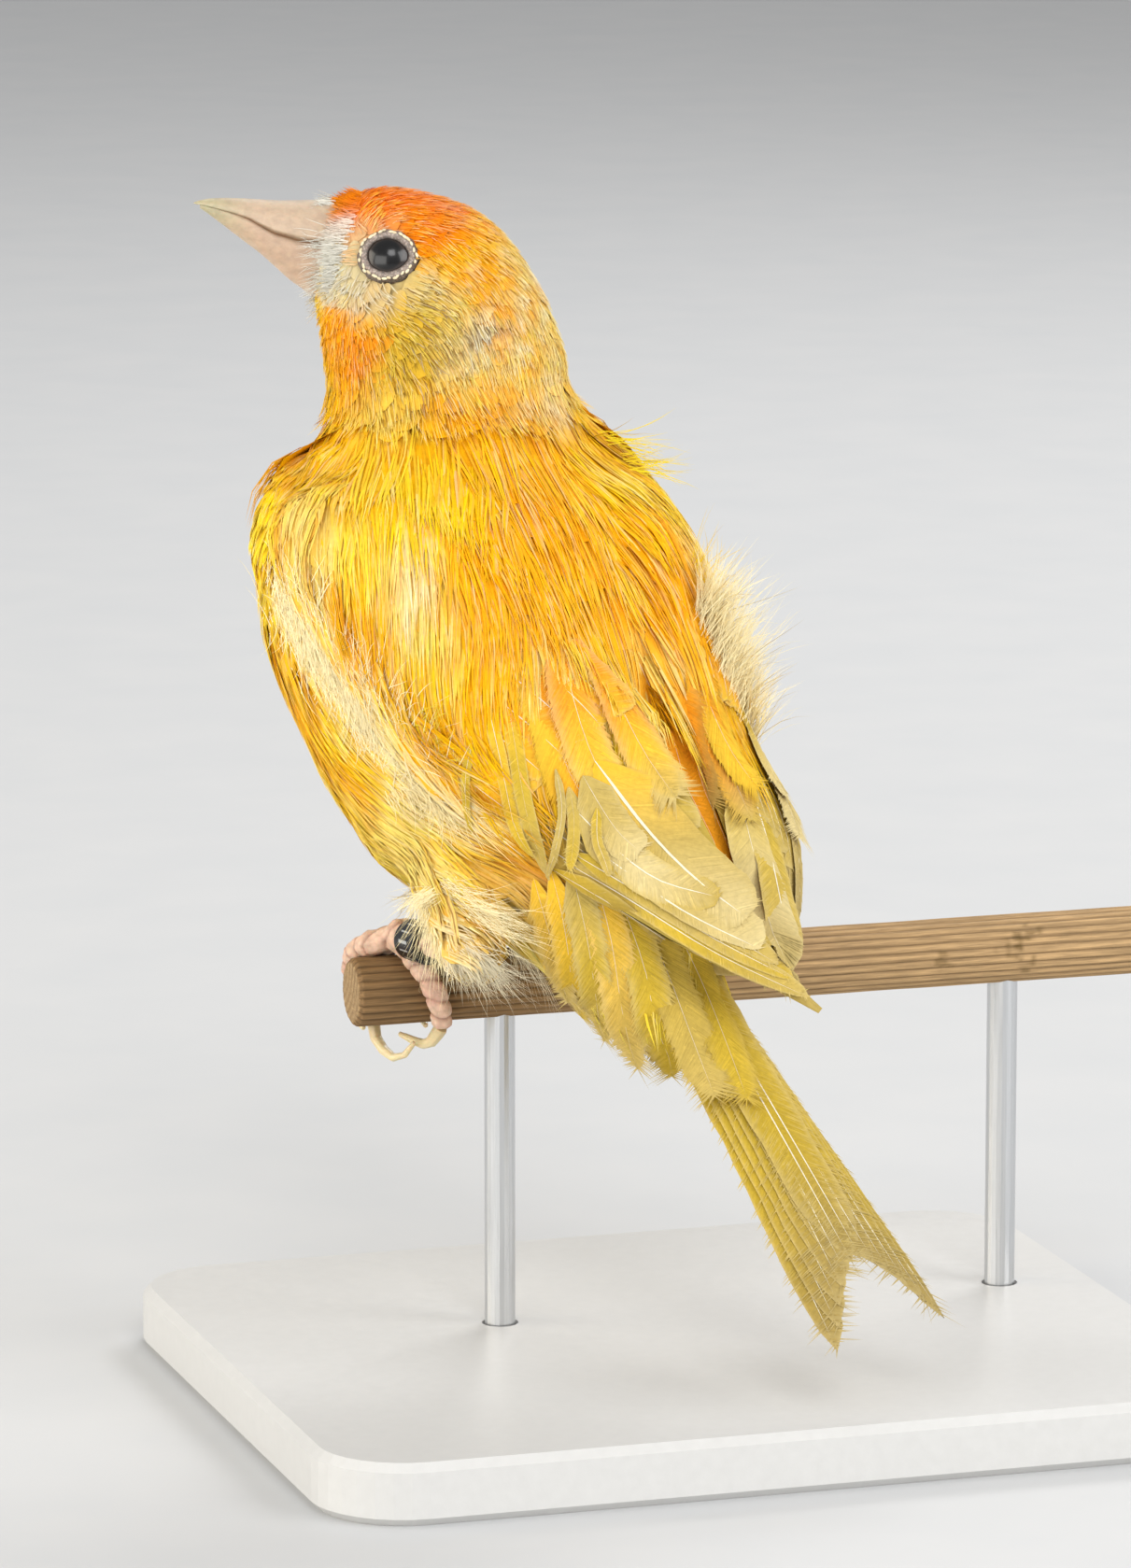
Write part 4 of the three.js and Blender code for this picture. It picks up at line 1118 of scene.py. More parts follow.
def coat_depth(p):
    """How far the skin lies inside the coat's surface."""
    q = head.into(p)
    from_bill = np.linalg.norm(q - (0, -12, 3), axis=1)
    on_head = smoothstep(-12, -4, q[:, 2])
    on_face = on_head * (1 - smoothstep(5, 12, from_bill))
    return mix(mix(BODY_DEPTH, HEAD_DEPTH, on_head), FACE_DEPTH, on_face)


def add_skin():
    verts = flesh.verts - flesh.normals * coat_depth(flesh.verts)[:, None]
    tint = marking(flesh.verts) * UNDERLIGHT
    add_piece("skin", Shape(verts, flesh.faces, tint, unwrap(verts)), PLUMAGE, "plumage", FLESH, True)


# Body plumage

# The height in the head's frame at which its feathers end over those of the body
RUFF = -8.6
# The spacing, length and width of the tufts on the belly, on the back and on the roll at the wing's bend
BELLY_TUFTS, BACK_TUFTS, ROLL_TUFTS = (1.85, 9.5, 5.4), (2.3, 13.5, 7.6), (1.0, 4.2, 2.2)
# How far down the body, the tail and the wings the tufts are rooted, and how far down the left wing they end
LAST_ON_TRUNK, LAST_ON_TAIL, LAST_ON_WING, LAST_END_ON_WING = 33, 27, 0.46, 0.62


def body_size(kind, p):
    """The spacing (kind 0), length (1) or width (2) of the body's tufts at points."""
    on_back = smoothstep(-6, 4, trunk.into(p)[:, 2])
    on_roll = smoothstep(4.5, 3, from_roll(p))
    return mix(mix(BELLY_TUFTS[kind], BACK_TUFTS[kind], on_back), ROLL_TUFTS[kind], on_roll)


def body_coat():
    rng = np.random.default_rng(11)
    roots = drape.spaced(26000, lambda p: body_size(0, p), rng)
    q = trunk.into(roots)
    keep = (head.into(roots)[:, 2] < RUFF + 1.5) & (q[:, 1] < LAST_ON_TRUNK)
    keep &= ~on_nodes(roots, "tail") | (q[:, 1] < LAST_ON_TAIL)
    keep &= ~on_nodes(roots, "wing_left", "wing_right") | (wing_share(roots) < LAST_ON_WING)
    keep &= ~on_nodes(roots, "head")
    roots = roots[keep]
    count = len(roots)
    lengths = body_size(1, roots) * rng.uniform(0.85, 1.15, count)
    widths = body_size(2, roots) * rng.uniform(0.85, 1.15, count)
    places, normals, ways = trace(drape, roots, lengths, 6, rng.normal(0, 0.07, count))
    ends = places[:, -1]
    whole = unbroken(places, normals)
    whole &= ~on_nodes(ends, "wing_left") | (wing_share(ends) < LAST_END_ON_WING)
    made = tufts(places[whole], normals[whole], ways[whole], widths[whole], rng, barbs=34, lift=(-0.7, 0.0),
                 barb_width=0.23, gather=0.3, stagger=0.45, loose=0.08, pale=0.4)
    add_piece("coat_body", made, PLUMAGE, "plumage", (), True)


# Head plumage

def face_share(p):
    """1 at the bill's root and 0 on the crown and cheeks."""
    return 1 - smoothstep(4, 11, np.linalg.norm(head.into(p) - (0, -11, 4), axis=1))


def eye_gap(p):
    """How far points are from the nearer eye's centre."""
    return np.minimum(*[np.linalg.norm(p - eye_centre(side), axis=1) for side in (1, -1)])


# Where dark barbs show on the head: the pixel (x, y), the radius in millimetres and the share of dark barbs
DARK_SPOTS = ((448, 365, 5, 0.45), (519, 346, 1.5, 0.9), (462, 318, 2.2, 0.4), (500, 330, 2.0, 0.4))
# The spacing, length and width of the tufts on the crown and on the face, and their length low on the head
CROWN_TUFTS, FACE_TUFTS, LOW_LENGTH = (1.1, 3.0, 3.6), (0.7, 1.2, 1.8), 4.4
# The height over the ruff up to which the head's tufts stand out over the body's
HEM_HEIGHT = 3


def head_size(kind, p):
    """The spacing (kind 0), length (1) or width (2) of the head's tufts at points."""
    return mix(CROWN_TUFTS[kind], FACE_TUFTS[kind], face_share(p))


def head_coat():
    rng = np.random.default_rng(12)
    roots = drape.spaced(50000, lambda p: head_size(0, p), rng)
    keep = (head.into(roots)[:, 2] > RUFF) & on_nodes(roots, "head", "neck")
    keep &= eye_gap(roots) > EYE["radius"] + 0.2
    roots = roots[keep]
    count = len(roots)
    low = smoothstep(-2, -10, head.into(roots)[:, 2])
    lengths = mix(head_size(1, roots), LOW_LENGTH, low) * rng.uniform(0.85, 1.15, count)
    widths = head_size(2, roots) * rng.uniform(0.85, 1.15, count)
    places, normals, ways = trace(drape, roots, lengths, 4, rng.normal(0, 0.12, count))
    streaked = np.zeros(count)
    for x, y, radius, most in DARK_SPOTS:
        near = ((roots - drape.seen(x, y)) ** 2).sum(1) / radius**2
        streaked = np.maximum(streaked, most * np.exp(-near))
    hem = head.into(roots)[:, 2] < RUFF + HEM_HEIGHT
    made = []
    for rows, lift in ((~hem, (-0.45, 0.05)), (hem, (-0.45, 0.7))):
        made.append(tufts(places[rows], normals[rows], ways[rows], widths[rows], rng, barbs=24, lift=lift,
                          barb_width=0.1, gather=0.1, stagger=0.75, loose=0.12, pale=0.5, vane_columns=3,
                          dark=streaked[rows]))
    add_piece("coat_head", join(made), PLUMAGE, "plumage", (), True)


# Wings

# Groups of a wing's feathers, the lowest first: how many there are, where the first and the last have their
# roots and then their tips on the wing as (u, w), their width, and how high the first and the last lie
WING_GROUPS = (
    ("primary", 9, (0.42, 0.05), (0.42, 0.32), (0.97, 0.1), (0.78, 0.7), 3.4, -0.3, -0.15),
    ("secondary", 6, (0.42, 0.28), (0.42, 0.62), (0.84, 0.36), (0.7, 0.76), 4.2, -0.15, 0.0),
    ("tertial", 2, (0.4, 0.66), (0.4, 0.76), (0.72, 0.64), (0.62, 0.74), 4.2, 0.0, 0.1),
    ("covert", 7, (0.38, 0.08), (0.38, 0.74), (0.56, 0.12), (0.52, 0.74), 4.2, 0.1, 0.2),
)
WING_COLOURS = {
    "primary": "lemon straw straw tip",
    "secondary": "gold lemon lemon straw",
    "tertial": "orange gold lemon straw",
    "covert": "orange orange gold",
}
# How deep a wing's feathers are rooted
WING_ROOT_LIFT = -1.2


def raised(line, lift_root, lift_tip, surface=drape):
    """A line lifted from a surface, more and more from its root to its tip, and the normals under it."""
    line = curve(line, 9)
    _, up = surface.snap(line)
    knots = np.linspace(0, 1, 9)[:, None]
    return line + up * mix(lift_root, lift_tip, knots**0.5), relaxed_rows(up)


def relaxed_rows(rows):
    """Directions smoothed along a line."""
    padded = np.vstack([rows[:1], rows, rows[-1:]])
    return unit(padded[:-2] + padded[1:-1] * 2 + padded[2:])


def wing_feathers(side, name):
    rng = np.random.default_rng(20 + side)
    made = []
    for group, count, first_root, last_root, first_tip, last_tip, width, low, high in WING_GROUPS:
        for k in range(count):
            share = k / (count - 1)
            root = mix(np.array(first_root), np.array(last_root), share)
            tip = mix(np.array(first_tip), np.array(last_tip), share)
            steps = np.linspace(0, 1, 8)[:, None]
            u, w = mix(root, tip, steps).T
            lift = mix(low, high, share)
            line, ups = raised(on_wing(side, u, w), WING_ROOT_LIFT, lift)
            colours = flight_colours(WING_COLOURS[group])
            made.append(vane(line, ups, width * rng.uniform(0.95, 1.08), colours, rng, FLIGHT["rim"],
                             0.5 - 0.18 * side, patch=atlas(len(made))))
    add_piece(f"{name}_feathers", join(made), FLIGHTS, "flight_feathers", (), True)


# How far the plate under a wing's feathers is drawn in, and how deep it lies under the coat near the shoulder
INNER_GROWTH, INNER_DEPTH = -0.35, 0.9
# How dark that plate is
INNER_SHADE = 0.85


def wing_inner(side, name):
    """The closed plate of muscle and quills that the wing's feathers lie on."""
    verts, faces = node_mesh(name, INNER_GROWTH)
    at, up = drape.snap(verts)
    buried = -INNER_DEPTH * smoothstep(0.55, 0.4, wing_share(verts))[:, None]
    verts = np.where(buried < -0.1, verts + up * np.minimum(buried - dot(verts - at, up), 0), verts)
    leading, trailing, _ = wing_lines[side]
    u = wing_share(verts)
    middle = interpolated(u, np.linspace(0, 1, WING_ROWS), mix(leading, trailing, 0.4))
    verts = mix(verts, middle, smoothstep(0.85, 1, u)[:, None] * 0.6)
    tint = mix(marking(verts), FLIGHT["straw"], wing_share(verts)[:, None]) * INNER_SHADE
    inner = Shape(verts, faces, tint, unwrap(verts))
    add_piece(f"{name}_inner", inner, FLIGHTS, "flight_feathers", (name,), True)


# Tail

TAIL_FEATHERS = 12
TAIL_LENGTH, TAIL_NOTCH, TAIL_TIP_WIDTH, TAIL_ROOT_WIDTH, TAIL_BEND = 53.5, 8, 17, 8, 1.0
# From root to tip, and how dark each is in the wings' and body's shade
TAIL_COLOURS = flight_colours("gold lemon lemon tip") * np.array([[0.85], [0.9], [0.85], [0.9]])
# The place across half the tail where its lobe is longest
TAIL_PEAK = 0.9


def tail_lobe(a):
    """A tail feather's length as a share of the notch's depth, from the middle (a = 0) to the side (1)."""
    return np.where(a < TAIL_PEAK, (a / TAIL_PEAK) ** 1.6, 1 - 0.2 * ((a - TAIL_PEAK) / (1 - TAIL_PEAK)) ** 2)


def tail_feathers():
    rng = np.random.default_rng(30)
    made = []
    middle = (TAIL_FEATHERS - 1) / 2
    for k in sorted(range(TAIL_FEATHERS), key=lambda k: -abs(k - middle)):
        a = (k - middle) / (TAIL_FEATHERS / 2)
        length = TAIL_LENGTH - TAIL_NOTCH * (1 - tail_lobe(abs(a))) - 0.3
        steps = np.linspace(0, 1, 8)
        x = a * (mix(TAIL_ROOT_WIDTH, TAIL_TIP_WIDTH, steps**1.3) / 2 - 1.4)
        x = x + TAIL_BEND * steps**2
        z = 0.9 - 1.6 * a**2 - 0.9 * abs(a) * (1 - steps)
        line = tail.out(np.stack([x, steps * length, z], 1))
        tilt = unit(np.array([a * 0.5, 0, 1.0]))
        ups = np.tile(tail.turn_out(tilt), (2, 1))
        share = 0.5 - 0.17 * np.sign(a)
        made.append(vane(line, ups, mix(6.0, 4.6, abs(a)), TAIL_COLOURS, rng, FLIGHT["rim"], share,
                         sweep=0.75, tip=0.22, shaft=0.26, fray=1.3, patch=atlas(len(made)), fringe=160))
    add_piece("tail_feathers", join(made), FLIGHTS, "flight_feathers", ("tail",), True)


# Large feathers that the photograph shows one by one: the pixels along the shaft, the width in millimetres,
# how high root and tip lie over the coat, the share of the width on the left, the colours from root to tip
# and of the rim, and how far the barbs stand out
RUMP_FEATHERS_SHOWN = (
    # Tail coverts
    (((718, 985), (748, 1050), (772, 1110), (798, 1180)), 5.0, 0.1, 0.5, 0.5, "lemon lemon", "straw", 1.2),
    (((680, 965), (712, 1040), (738, 1110), (764, 1178)), 5.0, 0.2, 0.6, 0.5, "lemon straw", "straw", 1.2),
    (((655, 945), (682, 1015), (702, 1085), (720, 1150)), 4.4, 0.3, 0.7, 0.5, "lemon lemon", "rim", 1.2),
    (((635, 935), (655, 1010), (668, 1080), (680, 1150)), 4.2, 0.4, 0.8, 0.5, "gold straw", "rim", 1.2),
    (((610, 925), (628, 995), (640, 1055), (650, 1112)), 3.8, 0.4, 0.9, 0.5, "straw lemon straw", "rim", 1.2),
    (((590, 930), (606, 990), (616, 1045), (625, 1090)), 3.6, 0.3, 0.8, 0.5, "gold lemon", "rim", 1.2),
    (((572, 940), (590, 995), (602, 1035), (614, 1068)), 3.4, 0.2, 0.7, 0.5, "gold straw", "rim", 1.2),
)
WING_FEATHERS_SHOWN = (
    # Left primaries, the outermost first
    (((590, 930), (662, 972), (755, 1030), (881, 1083)), 2.6, 0.0, 0.1, 0.4, "lemon straw tip", "rim", 0.3),
    (((604, 922), (672, 962), (762, 1018), (866, 1068)), 2.6, 0.1, 0.2, 0.35,
     "straw lemon straw", "rim", 0.3),
    (((616, 915), (680, 954), (768, 1008), (850, 1050)), 2.6, 0.2, 0.3, 0.35,
     "lemon straw lemon", "rim", 0.3),
    (((630, 908), (701, 956), (775, 1000), (832, 1034)), 2.8, 0.3, 0.4, 0.3, "straw lemon straw", "rim", 0.3),
    (((640, 912), (690, 949), (734, 979), (777, 1001), (812, 1018)), 4.6, 0.4, 0.5, 0.2,
     "lemon straw rim", "rim", 0.4),
    # Left secondaries and tertials
    (((635, 815), (690, 888), (742, 942), (797, 985)), 7.6, 0.45, 0.6, 0.45, "gold straw rim", "straw", 0.4),
    (((618, 870), (660, 912), (705, 945), (768, 964)), 4.2, 0.55, 0.7, 0.5, "straw rim straw", "lemon", 0.4),
    (((622, 830), (640, 862), (660, 892), (684, 914)), 4.0, 0.65, 0.85, 0.5, "straw straw rim", "rim", 0.5),
    # Left coverts
    (((632, 670), (658, 740), (688, 805), (722, 856)), 5.6, -1.2, 0.5, 0.45,
     "gold orange gold straw", "rim", 1.2),
    (((566, 690), (588, 760), (606, 820), (632, 868)), 5.4, -1.2, 0.45, 0.5,
     "gold gold orange", "lemon", 1.2),
    (((598, 660), (611, 735), (630, 802), (660, 868)), 5.4, -1.2, 0.6, 0.5,
     "orange orange gold straw", "rim", 1.2),
    (((664, 650), (692, 725), (722, 790), (746, 840)), 5.0, -1.2, 0.5, 0.5, "gold orange gold", "lemon", 1.2),
    (((694, 655), (716, 730), (740, 795), (764, 862)), 4.8, -1.2, 0.1, 0.5,
     "orange orange straw", "straw", 1.2),
    # Right wing
    (((808, 850), (824, 915), (836, 975), (846, 1024)), 4.6, -0.2, 0.3, 0.5, "lemon straw", "rim", 0.4),
    (((786, 830), (804, 908), (821, 978), (840, 1035)), 5.4, -0.2, 0.5, 0.5, "lemon rim straw", "rim", 0.5),
    (((794, 735), (818, 800), (838, 855), (852, 900)), 4.0, -1.0, 0.5, 0.5, "gold straw rim", "rim", 1.2),
    (((716, 670), (744, 745), (776, 820), (800, 880)), 5.4, -1.2, 0.6, 0.5,
     "orange orange straw", "lemon", 1.2),
    (((738, 685), (760, 760), (778, 806), (803, 846)), 5.6, -1.0, 0.75, 0.5,
     "orange gold gold", "lemon", 1.2),
    (((770, 685), (794, 755), (813, 810), (836, 858)), 4.2, -1.0, 0.7, 0.5, "gold lemon rim", "rim", 1.0),
    # Loose ribbons on the left wing's edge
    (((514, 770), (501, 815), (500, 850), (508, 891)), 0.9, -0.6, 0.6, 0.5, "lemon lemon", "rim", 0.3),
    (((518, 735), (535, 810), (553, 885), (576, 915)), 1.4, -0.8, 0.7, 0.5, "gold lemon", "rim", 0.4),
    (((540, 725), (551, 795), (565, 873), (589, 932)), 1.7, -1.0, 0.8, 0.5, "gold lemon straw", "rim", 0.6),
    (((594, 823), (601, 866), (596, 907), (590, 940)), 0.8, 0.4, 0.9, 0.5, "straw straw", "rim", 0.4),
    (((608, 842), (614, 880), (612, 930)), 1.3, 0.4, 0.8, 0.5, "straw lemon", "rim", 0.6),
    (((637, 865), (638, 899), (646, 920), (653, 940)), 1.1, 0.8, 1.1, 0.5, "lemon straw", "rim", 0.3),
)
# Feathers whose barbs stand out by less than this, in millimetres, have firm shafts
FIRM_FRAY = 0.5
# The shaft's share of the feather's width where it is firm and where it is soft
FIRM_SHAFT, SOFT_SHAFT = 0.05, 0.01375
# How many barbs a feather gets for each millimetre of its width, and one that is loose
FRINGE, LOOSE_FRINGE = 26, 104
# How far the barbs sweep towards the tip for each millimetre across
FIRM_SWEEP, LOOSE_SWEEP = 0.7, 1.2


# The rump's feathers that bridge the gap between the wings: pixels down the left wing's inner edge and down
# the right one's, then each feather's share of the way across, its first and last row and its colours
GAP_LEFT = ((676, 745), (692, 800), (708, 845), (734, 880), (752, 915), (768, 950), (782, 985))
GAP_RIGHT = ((752, 745), (765, 790), (774, 835), (788, 875), (802, 910), (814, 945), (822, 980))
# Their deeper orange is painted shade in the gap between the wings
GAP_FEATHERS = (
    (0.75, 0, 23, "orange ochre ochre"),
    (0.25, 1, 26, "orange orange ochre"),
    (0.5, 4, 29, "orange ochre orange"),
)
GAP_ROWS, GAP_WIDTH, GAP_DEPTH = 30, 4.4, 0.9
# The first of their cells in the bake map
GAP_CELL = 90


def gap_feathers(rng):
    left, right = (curve([drape.seen(*pixel) for pixel in side], GAP_ROWS) for side in (GAP_LEFT, GAP_RIGHT))
    made = []
    for share, first, last, colours in GAP_FEATHERS:
        rows = slice(first, last + 1)
        line = mix(left, right, share)[rows]
        across = unit((right - left)[rows])
        ups = unit(np.cross(across, np.gradient(line, axis=0)))
        ups = ups * np.sign(dot(ups, unit(CAMERA_AT - line)))
        made.append(vane(line - ups * GAP_DEPTH, ups, GAP_WIDTH, flight_colours(colours), rng, tip=0.35,
                         shaft=0.05, fray=0.6, patch=atlas(GAP_CELL + len(made)), fringe=260))
    return made


def shown_feathers():
    rng = np.random.default_rng(25)
    made = gap_feathers(rng)
    rows = [(rump, *row) for row in RUMP_FEATHERS_SHOWN] + [(drape, *row) for row in WING_FEATHERS_SHOWN]
    for surface, pixels, width, low, high, share, colours, rim, fray in rows:
        loose = fray > LOOSE_FRAY
        shaft = width * (FIRM_SHAFT if fray < FIRM_FRAY else SOFT_SHAFT)
        fringe = int(width * (LOOSE_FRINGE if loose else FRINGE))
        line, ups = raised([surface.seen(*pixel) for pixel in pixels], low, high, surface)
        sweep = LOOSE_SWEEP if loose else FIRM_SWEEP
        made.append(vane(line, ups, width, flight_colours(colours), rng, FLIGHT[rim], share, sweep, tip=0.35,
                         shaft=shaft, fray=fray, patch=atlas(len(made)), fringe=fringe))
    add_piece("feathers_shown", join(made), FLIGHTS, "flight_feathers", (), True)


# Down and loose feathers

# Each patch of down: the pixels along its line, how far it spreads in pixels, which way (right, down) it
# points, how many barbs it has, their length and width in millimetres, their curl and their colour
DOWN_PATCHES = (
    (((300, 635), (334, 690), (384, 755), (432, 815), (478, 866)), 26, (7, -12), 2300, 4.4, 0.09, 0.5, DOWN),
    (((304, 650), (342, 705), (394, 770)), 20, (6, 6), 700, 4.0, 0.08, 0.5, DOWN),
    (((420, 845), (455, 850), (490, 868)), 14, (10, 6), 300, 4.0, 0.09, 0.5, DOWN * (1, 0.96, 0.86)),
    (((440, 770), (458, 800), (474, 840)), 8, (8, -8), 120, 3.4, 0.09, 0.6, LEMON),
    (((752, 648), (772, 700), (792, 745), (814, 792)), 8, (3, -20), 1000, 6.2, 0.07, 0.4, DOWN * (1, 0.97, 0.9)),
    (((752, 648), (768, 690), (784, 730)), 8, (10, -20), 160, 8.0, 0.08, 0.3, DOWN),
    (((446, 955), (456, 985), (466, 1015)), 9, (4, 13), 420, 5.2, 0.07, 0.3, DOWN),
    (((470, 940), (500, 965), (530, 990)), 12, (12, 9), 200, 6.0, 0.06, 0.25, DOWN),
    (((480, 1000), (520, 1030), (560, 1050)), 10, (10, 9), 110, 6.0, 0.05, 0.3, CREAM),
    (((470, 1020), (500, 1030), (540, 1030)), 10, (8, 11), 240, 4.4, 0.06, 0.3, CREAM),
    (((440, 960), (470, 955)), 8, (-6, 6), 120, 3.5, 0.07, 0.5, DOWN),
    (((696, 732), (704, 752), (714, 776)), 5, (7, 20), 150, 6.0, 0.1, 0.2, ORANGE * (0.98, 1.0, 1.2)),
    (((640, 462), (668, 478), (686, 500)), 8, (10, 4), 60, 6.0, 0.1, 0.3, YELLOW),
    (((745, 600), (765, 650)), 6, (4, -12), 40, 5.0, 0.09, 0.3, GOLD),
)


DOWN_STEPS = 60


def down():
    rng = np.random.default_rng(41)
    right, up, _ = camera_axes()
    made = []
    for line, spread, reach, count, length, width, curl, colour in DOWN_PATCHES:
        pixels = curve(line, DOWN_STEPS)
        pixels = pixels[rng.integers(0, DOWN_STEPS, count)] + rng.normal(0, spread, (count, 2)) / 2
        roots = np.array([drape.seen(x, y) for x, y in pixels])
        _, normals = drape.snap(roots)
        ways = unit(reach[0] * right - reach[1] * up) + normals * 0.35 + rng.normal(0, 0.22, roots.shape)
        lengths = length * rng.uniform(0.5, 1.25, count)
        widths = np.full(count, width)
        tints = colour * np.exp(rng.normal(0, 0.04, (count, 1)))
        made.append(wisps(roots - normals * 0.1, normals, ways, lengths, widths, curl, tints, rng))
    add_piece("down", join(made), PLUMAGE, "plumage", (), True)


# Eyes

LID_OPENING = (413.7, 271.6)
LID_HALF_WIDTH, LID_HALF_HEIGHT = 1.95, 1.68
# The lid's section: how far out from the opening, how high over its plane, and how dark
LID_SECTION = (
    (-0.35, -0.35, 0.1), (-0.08, -0.02, 0.15), (0.02, 0.12, 0.4), (0.16, 0.2, 0.62), (0.34, 0.24, 0.7),
    (0.5, 0.2, 0.6), (0.64, 0.05, 0.4), (0.78, -0.2, 0.35), (1.0, -0.7, 0.3), (0.8, -1.3, 0.2),
    (0.2, -1.2, 0.2),
)
# Steps round each lid, and the tiny pale feathers that ring it
LID_STEPS, BEADS = 96, 30


def loop_faces(rows, columns):
    """Triangles of a grid that closes on itself both ways."""
    index = np.arange(rows * columns).reshape(rows, columns)
    beside, above = np.roll(index, -1, 1), np.roll(index, -1, 0)
    both = np.roll(above, -1, 1)
    here, beside, both, above = (part.ravel() for part in (index, beside, both, above))
    return np.concatenate([np.stack([here, beside, both], 1), np.stack([here, both, above], 1)])


def eye_axis(side):
    """The way that an eye looks, through the middle of its lids."""
    ray = sight(*LID_OPENING)
    away = CAMERA_AT - eye_centre(1)
    along_ray = -ray @ away
    hit = along_ray - math.sqrt(along_ray**2 - away @ away + EYE["radius"] ** 2)
    x, y, z = head.turn_in(unit(CAMERA_AT + ray * hit - eye_centre(1)))
    return head.turn_out((side * x, y, z))


def add_eye(side, name, material, lid_material):
    rng = np.random.default_rng(50)
    centre, axis = eye_centre(side), eye_axis(side)
    up = unit(np.array([0, 0, 1.0]) - axis * axis[2])
    rear = head.turn_out((0, 1, 0))
    rear = unit(rear - axis * (axis @ rear) - up * (up @ rear))
    radius = EYE["radius"] - 0.02
    verts, faces = ball((0, 0, 0), (radius,) * 3, 40, 64)
    iris = smoothstep(1.35, 1.5, np.hypot(verts[:, 0], verts[:, 1]))
    tint = mix(linear(8, 8, 9), linear(44, 36, 32), iris[:, None])
    verts = centre + verts[:, :1] * rear + verts[:, 1:2] * up + verts[:, 2:] * axis
    add_piece(name, Shape(verts, faces, tint), material, "eye", (name,))

    angle = np.linspace(0, 2 * np.pi, LID_STEPS, endpoint=False)
    opening = 1 / np.hypot(np.cos(angle) / LID_HALF_WIDTH, np.sin(angle) / LID_HALF_HEIGHT)
    opening = opening * (1 + 0.07 * np.maximum(np.cos(angle), 0) ** 10)
    grain = waves(np.stack([np.cos(angle), np.sin(angle), 0 * angle], 1) * 3, 0.5, 51)
    section = np.array(LID_SECTION)
    out = opening[:, None] + section[:, 0] * (1 + 0.05 * grain[:, None])
    plane = np.sqrt(EYE["radius"] ** 2 - opening**2)[:, None]
    high = plane + section[:, 1] + 0.03 * grain[:, None]
    way = np.cos(angle)[:, None] * rear + np.sin(angle)[:, None] * up
    verts = centre + way[:, None] * out[..., None] + axis * high[..., None]
    shade = section[:, 2] * (1 + 0.12 * waves(np.stack([angle * 3, 0 * angle, 0 * angle], 1), 1, 52))[:, None]
    tint = linear(206, 186, 172) * shade[..., None]
    lid = Shape(verts.reshape(-1, 3), loop_faces(LID_STEPS, len(section)), tint.reshape(-1, 3))
    add_piece(f"{name}_lid", lid, lid_material, "bare_legs")

    made = []
    for k in range(BEADS):
        turn = 2 * np.pi * (k + rng.uniform(-0.25, 0.25)) / BEADS
        spot = int(turn / (2 * np.pi) * LID_STEPS) % LID_STEPS
        out_way = math.cos(turn) * rear + math.sin(turn) * up
        at = centre + out_way * (opening[spot] + rng.uniform(0.55, 0.8)) + axis * (plane[spot, 0] + 0.12)
        bead, faces = ball((0, 0, 0), (0.14, 0.26 * rng.uniform(0.8, 1.3), 0.14), 8, 10)
        lean = unit(np.cross(axis, out_way) + out_way * rng.normal(0, 0.3))
        spread = np.cross(lean, axis)
        bead = at + bead[:, :1] * spread + bead[:, 1:2] * lean + bead[:, 2:] * axis
        made.append(Shape(bead, faces, mix(CREAM, linear(190, 170, 130), rng.uniform(0, 0.6))))
    add_piece(f"{name}_beads", join(made), PLUMAGE, "plumage")


def add_eyes():
    wet = Look("eye", 0.25, Specular_IOR_Level=0.25, Coat_Weight=0.5, Coat_Roughness=0.14)
    speckle = wet.noise(wet.place(), 3, 3)
    wet.use("Base Color", wet.times(wet.attribute("tint", "Color"), wet.spread(speckle, 0.6, 1.4)))
    lid = Look("lid", 0.5, Subsurface_Weight=0.1, Subsurface_Scale=0.0005)
    grain = lid.cells(lid.place(), 4.5)
    lid.use("Base Color", lid.times(lid.attribute("tint", "Color"), lid.spread(grain, 1.3, 0.55, 0.0, 0.6)))
    lid.bump(grain, 0.08)
    add_eye(1, "eye_left", wet.material, lid.material)
    add_eye(-1, "eye_right", wet.material, lid.material)


# Bill

# How far forward (y) and how high (z) the middle of the bill's root lies in the head's frame
BILL_BASE, BILL_LENGTH, BILL_HALF_WIDTH = (-9.8, 5.4), 13.4, 3.7
# Heights over the bill's middle at shares of its length, for its top ridge, gape and lower ridge
CULMEN = ((0, 5.0), (0.12, 5.2), (0.43, 5.14), (0.7, 5.36), (0.82, 5.42), (0.935, 5.36), (1.02, 5.14),
          (1.045, 4.97))
GAPE = ((0, 1.3), (0.274, 1.62), (0.36, 1.95), (0.455, 2.25), (0.565, 3.0), (0.643, 3.6), (0.777, 4.15),
        (0.903, 4.55), (1.0, 4.8), (1.045, 4.88))
GONYS = ((0, -4.6), (0.2, -4.1), (0.275, -3.3), (0.36, -2.5), (0.463, -1.22), (0.58, 0.18), (0.66, 0.98),
         (0.873, 3.18), (1.0, 4.45))
BILL_ROWS = 56


def bill_point(t, x, high):
    """A point of the bill: the share of its length, and how far it lies left and up from its middle line."""
    y = BILL_BASE[0] - BILL_LENGTH * t
    return head.out(np.stack(np.broadcast_arrays(x, y, BILL_BASE[1] + high), -1))


def profile(table, t):
    """A smooth curve through a table of (share, height)."""
    shares, heights = np.array(table).T
    dense = np.interp(np.linspace(0, 1.045, 400), shares, heights)
    kernel = np.hanning(31) / np.hanning(31).sum()
    dense = np.convolve(np.pad(dense, 15, mode="edge"), kernel, mode="valid")
    return np.interp(t, np.linspace(0, 1.045, 400), dense)


def bill_width(t):
    return BILL_HALF_WIDTH * np.clip(1 - t / 1.06, 0, 1) ** 0.85 + 0.1


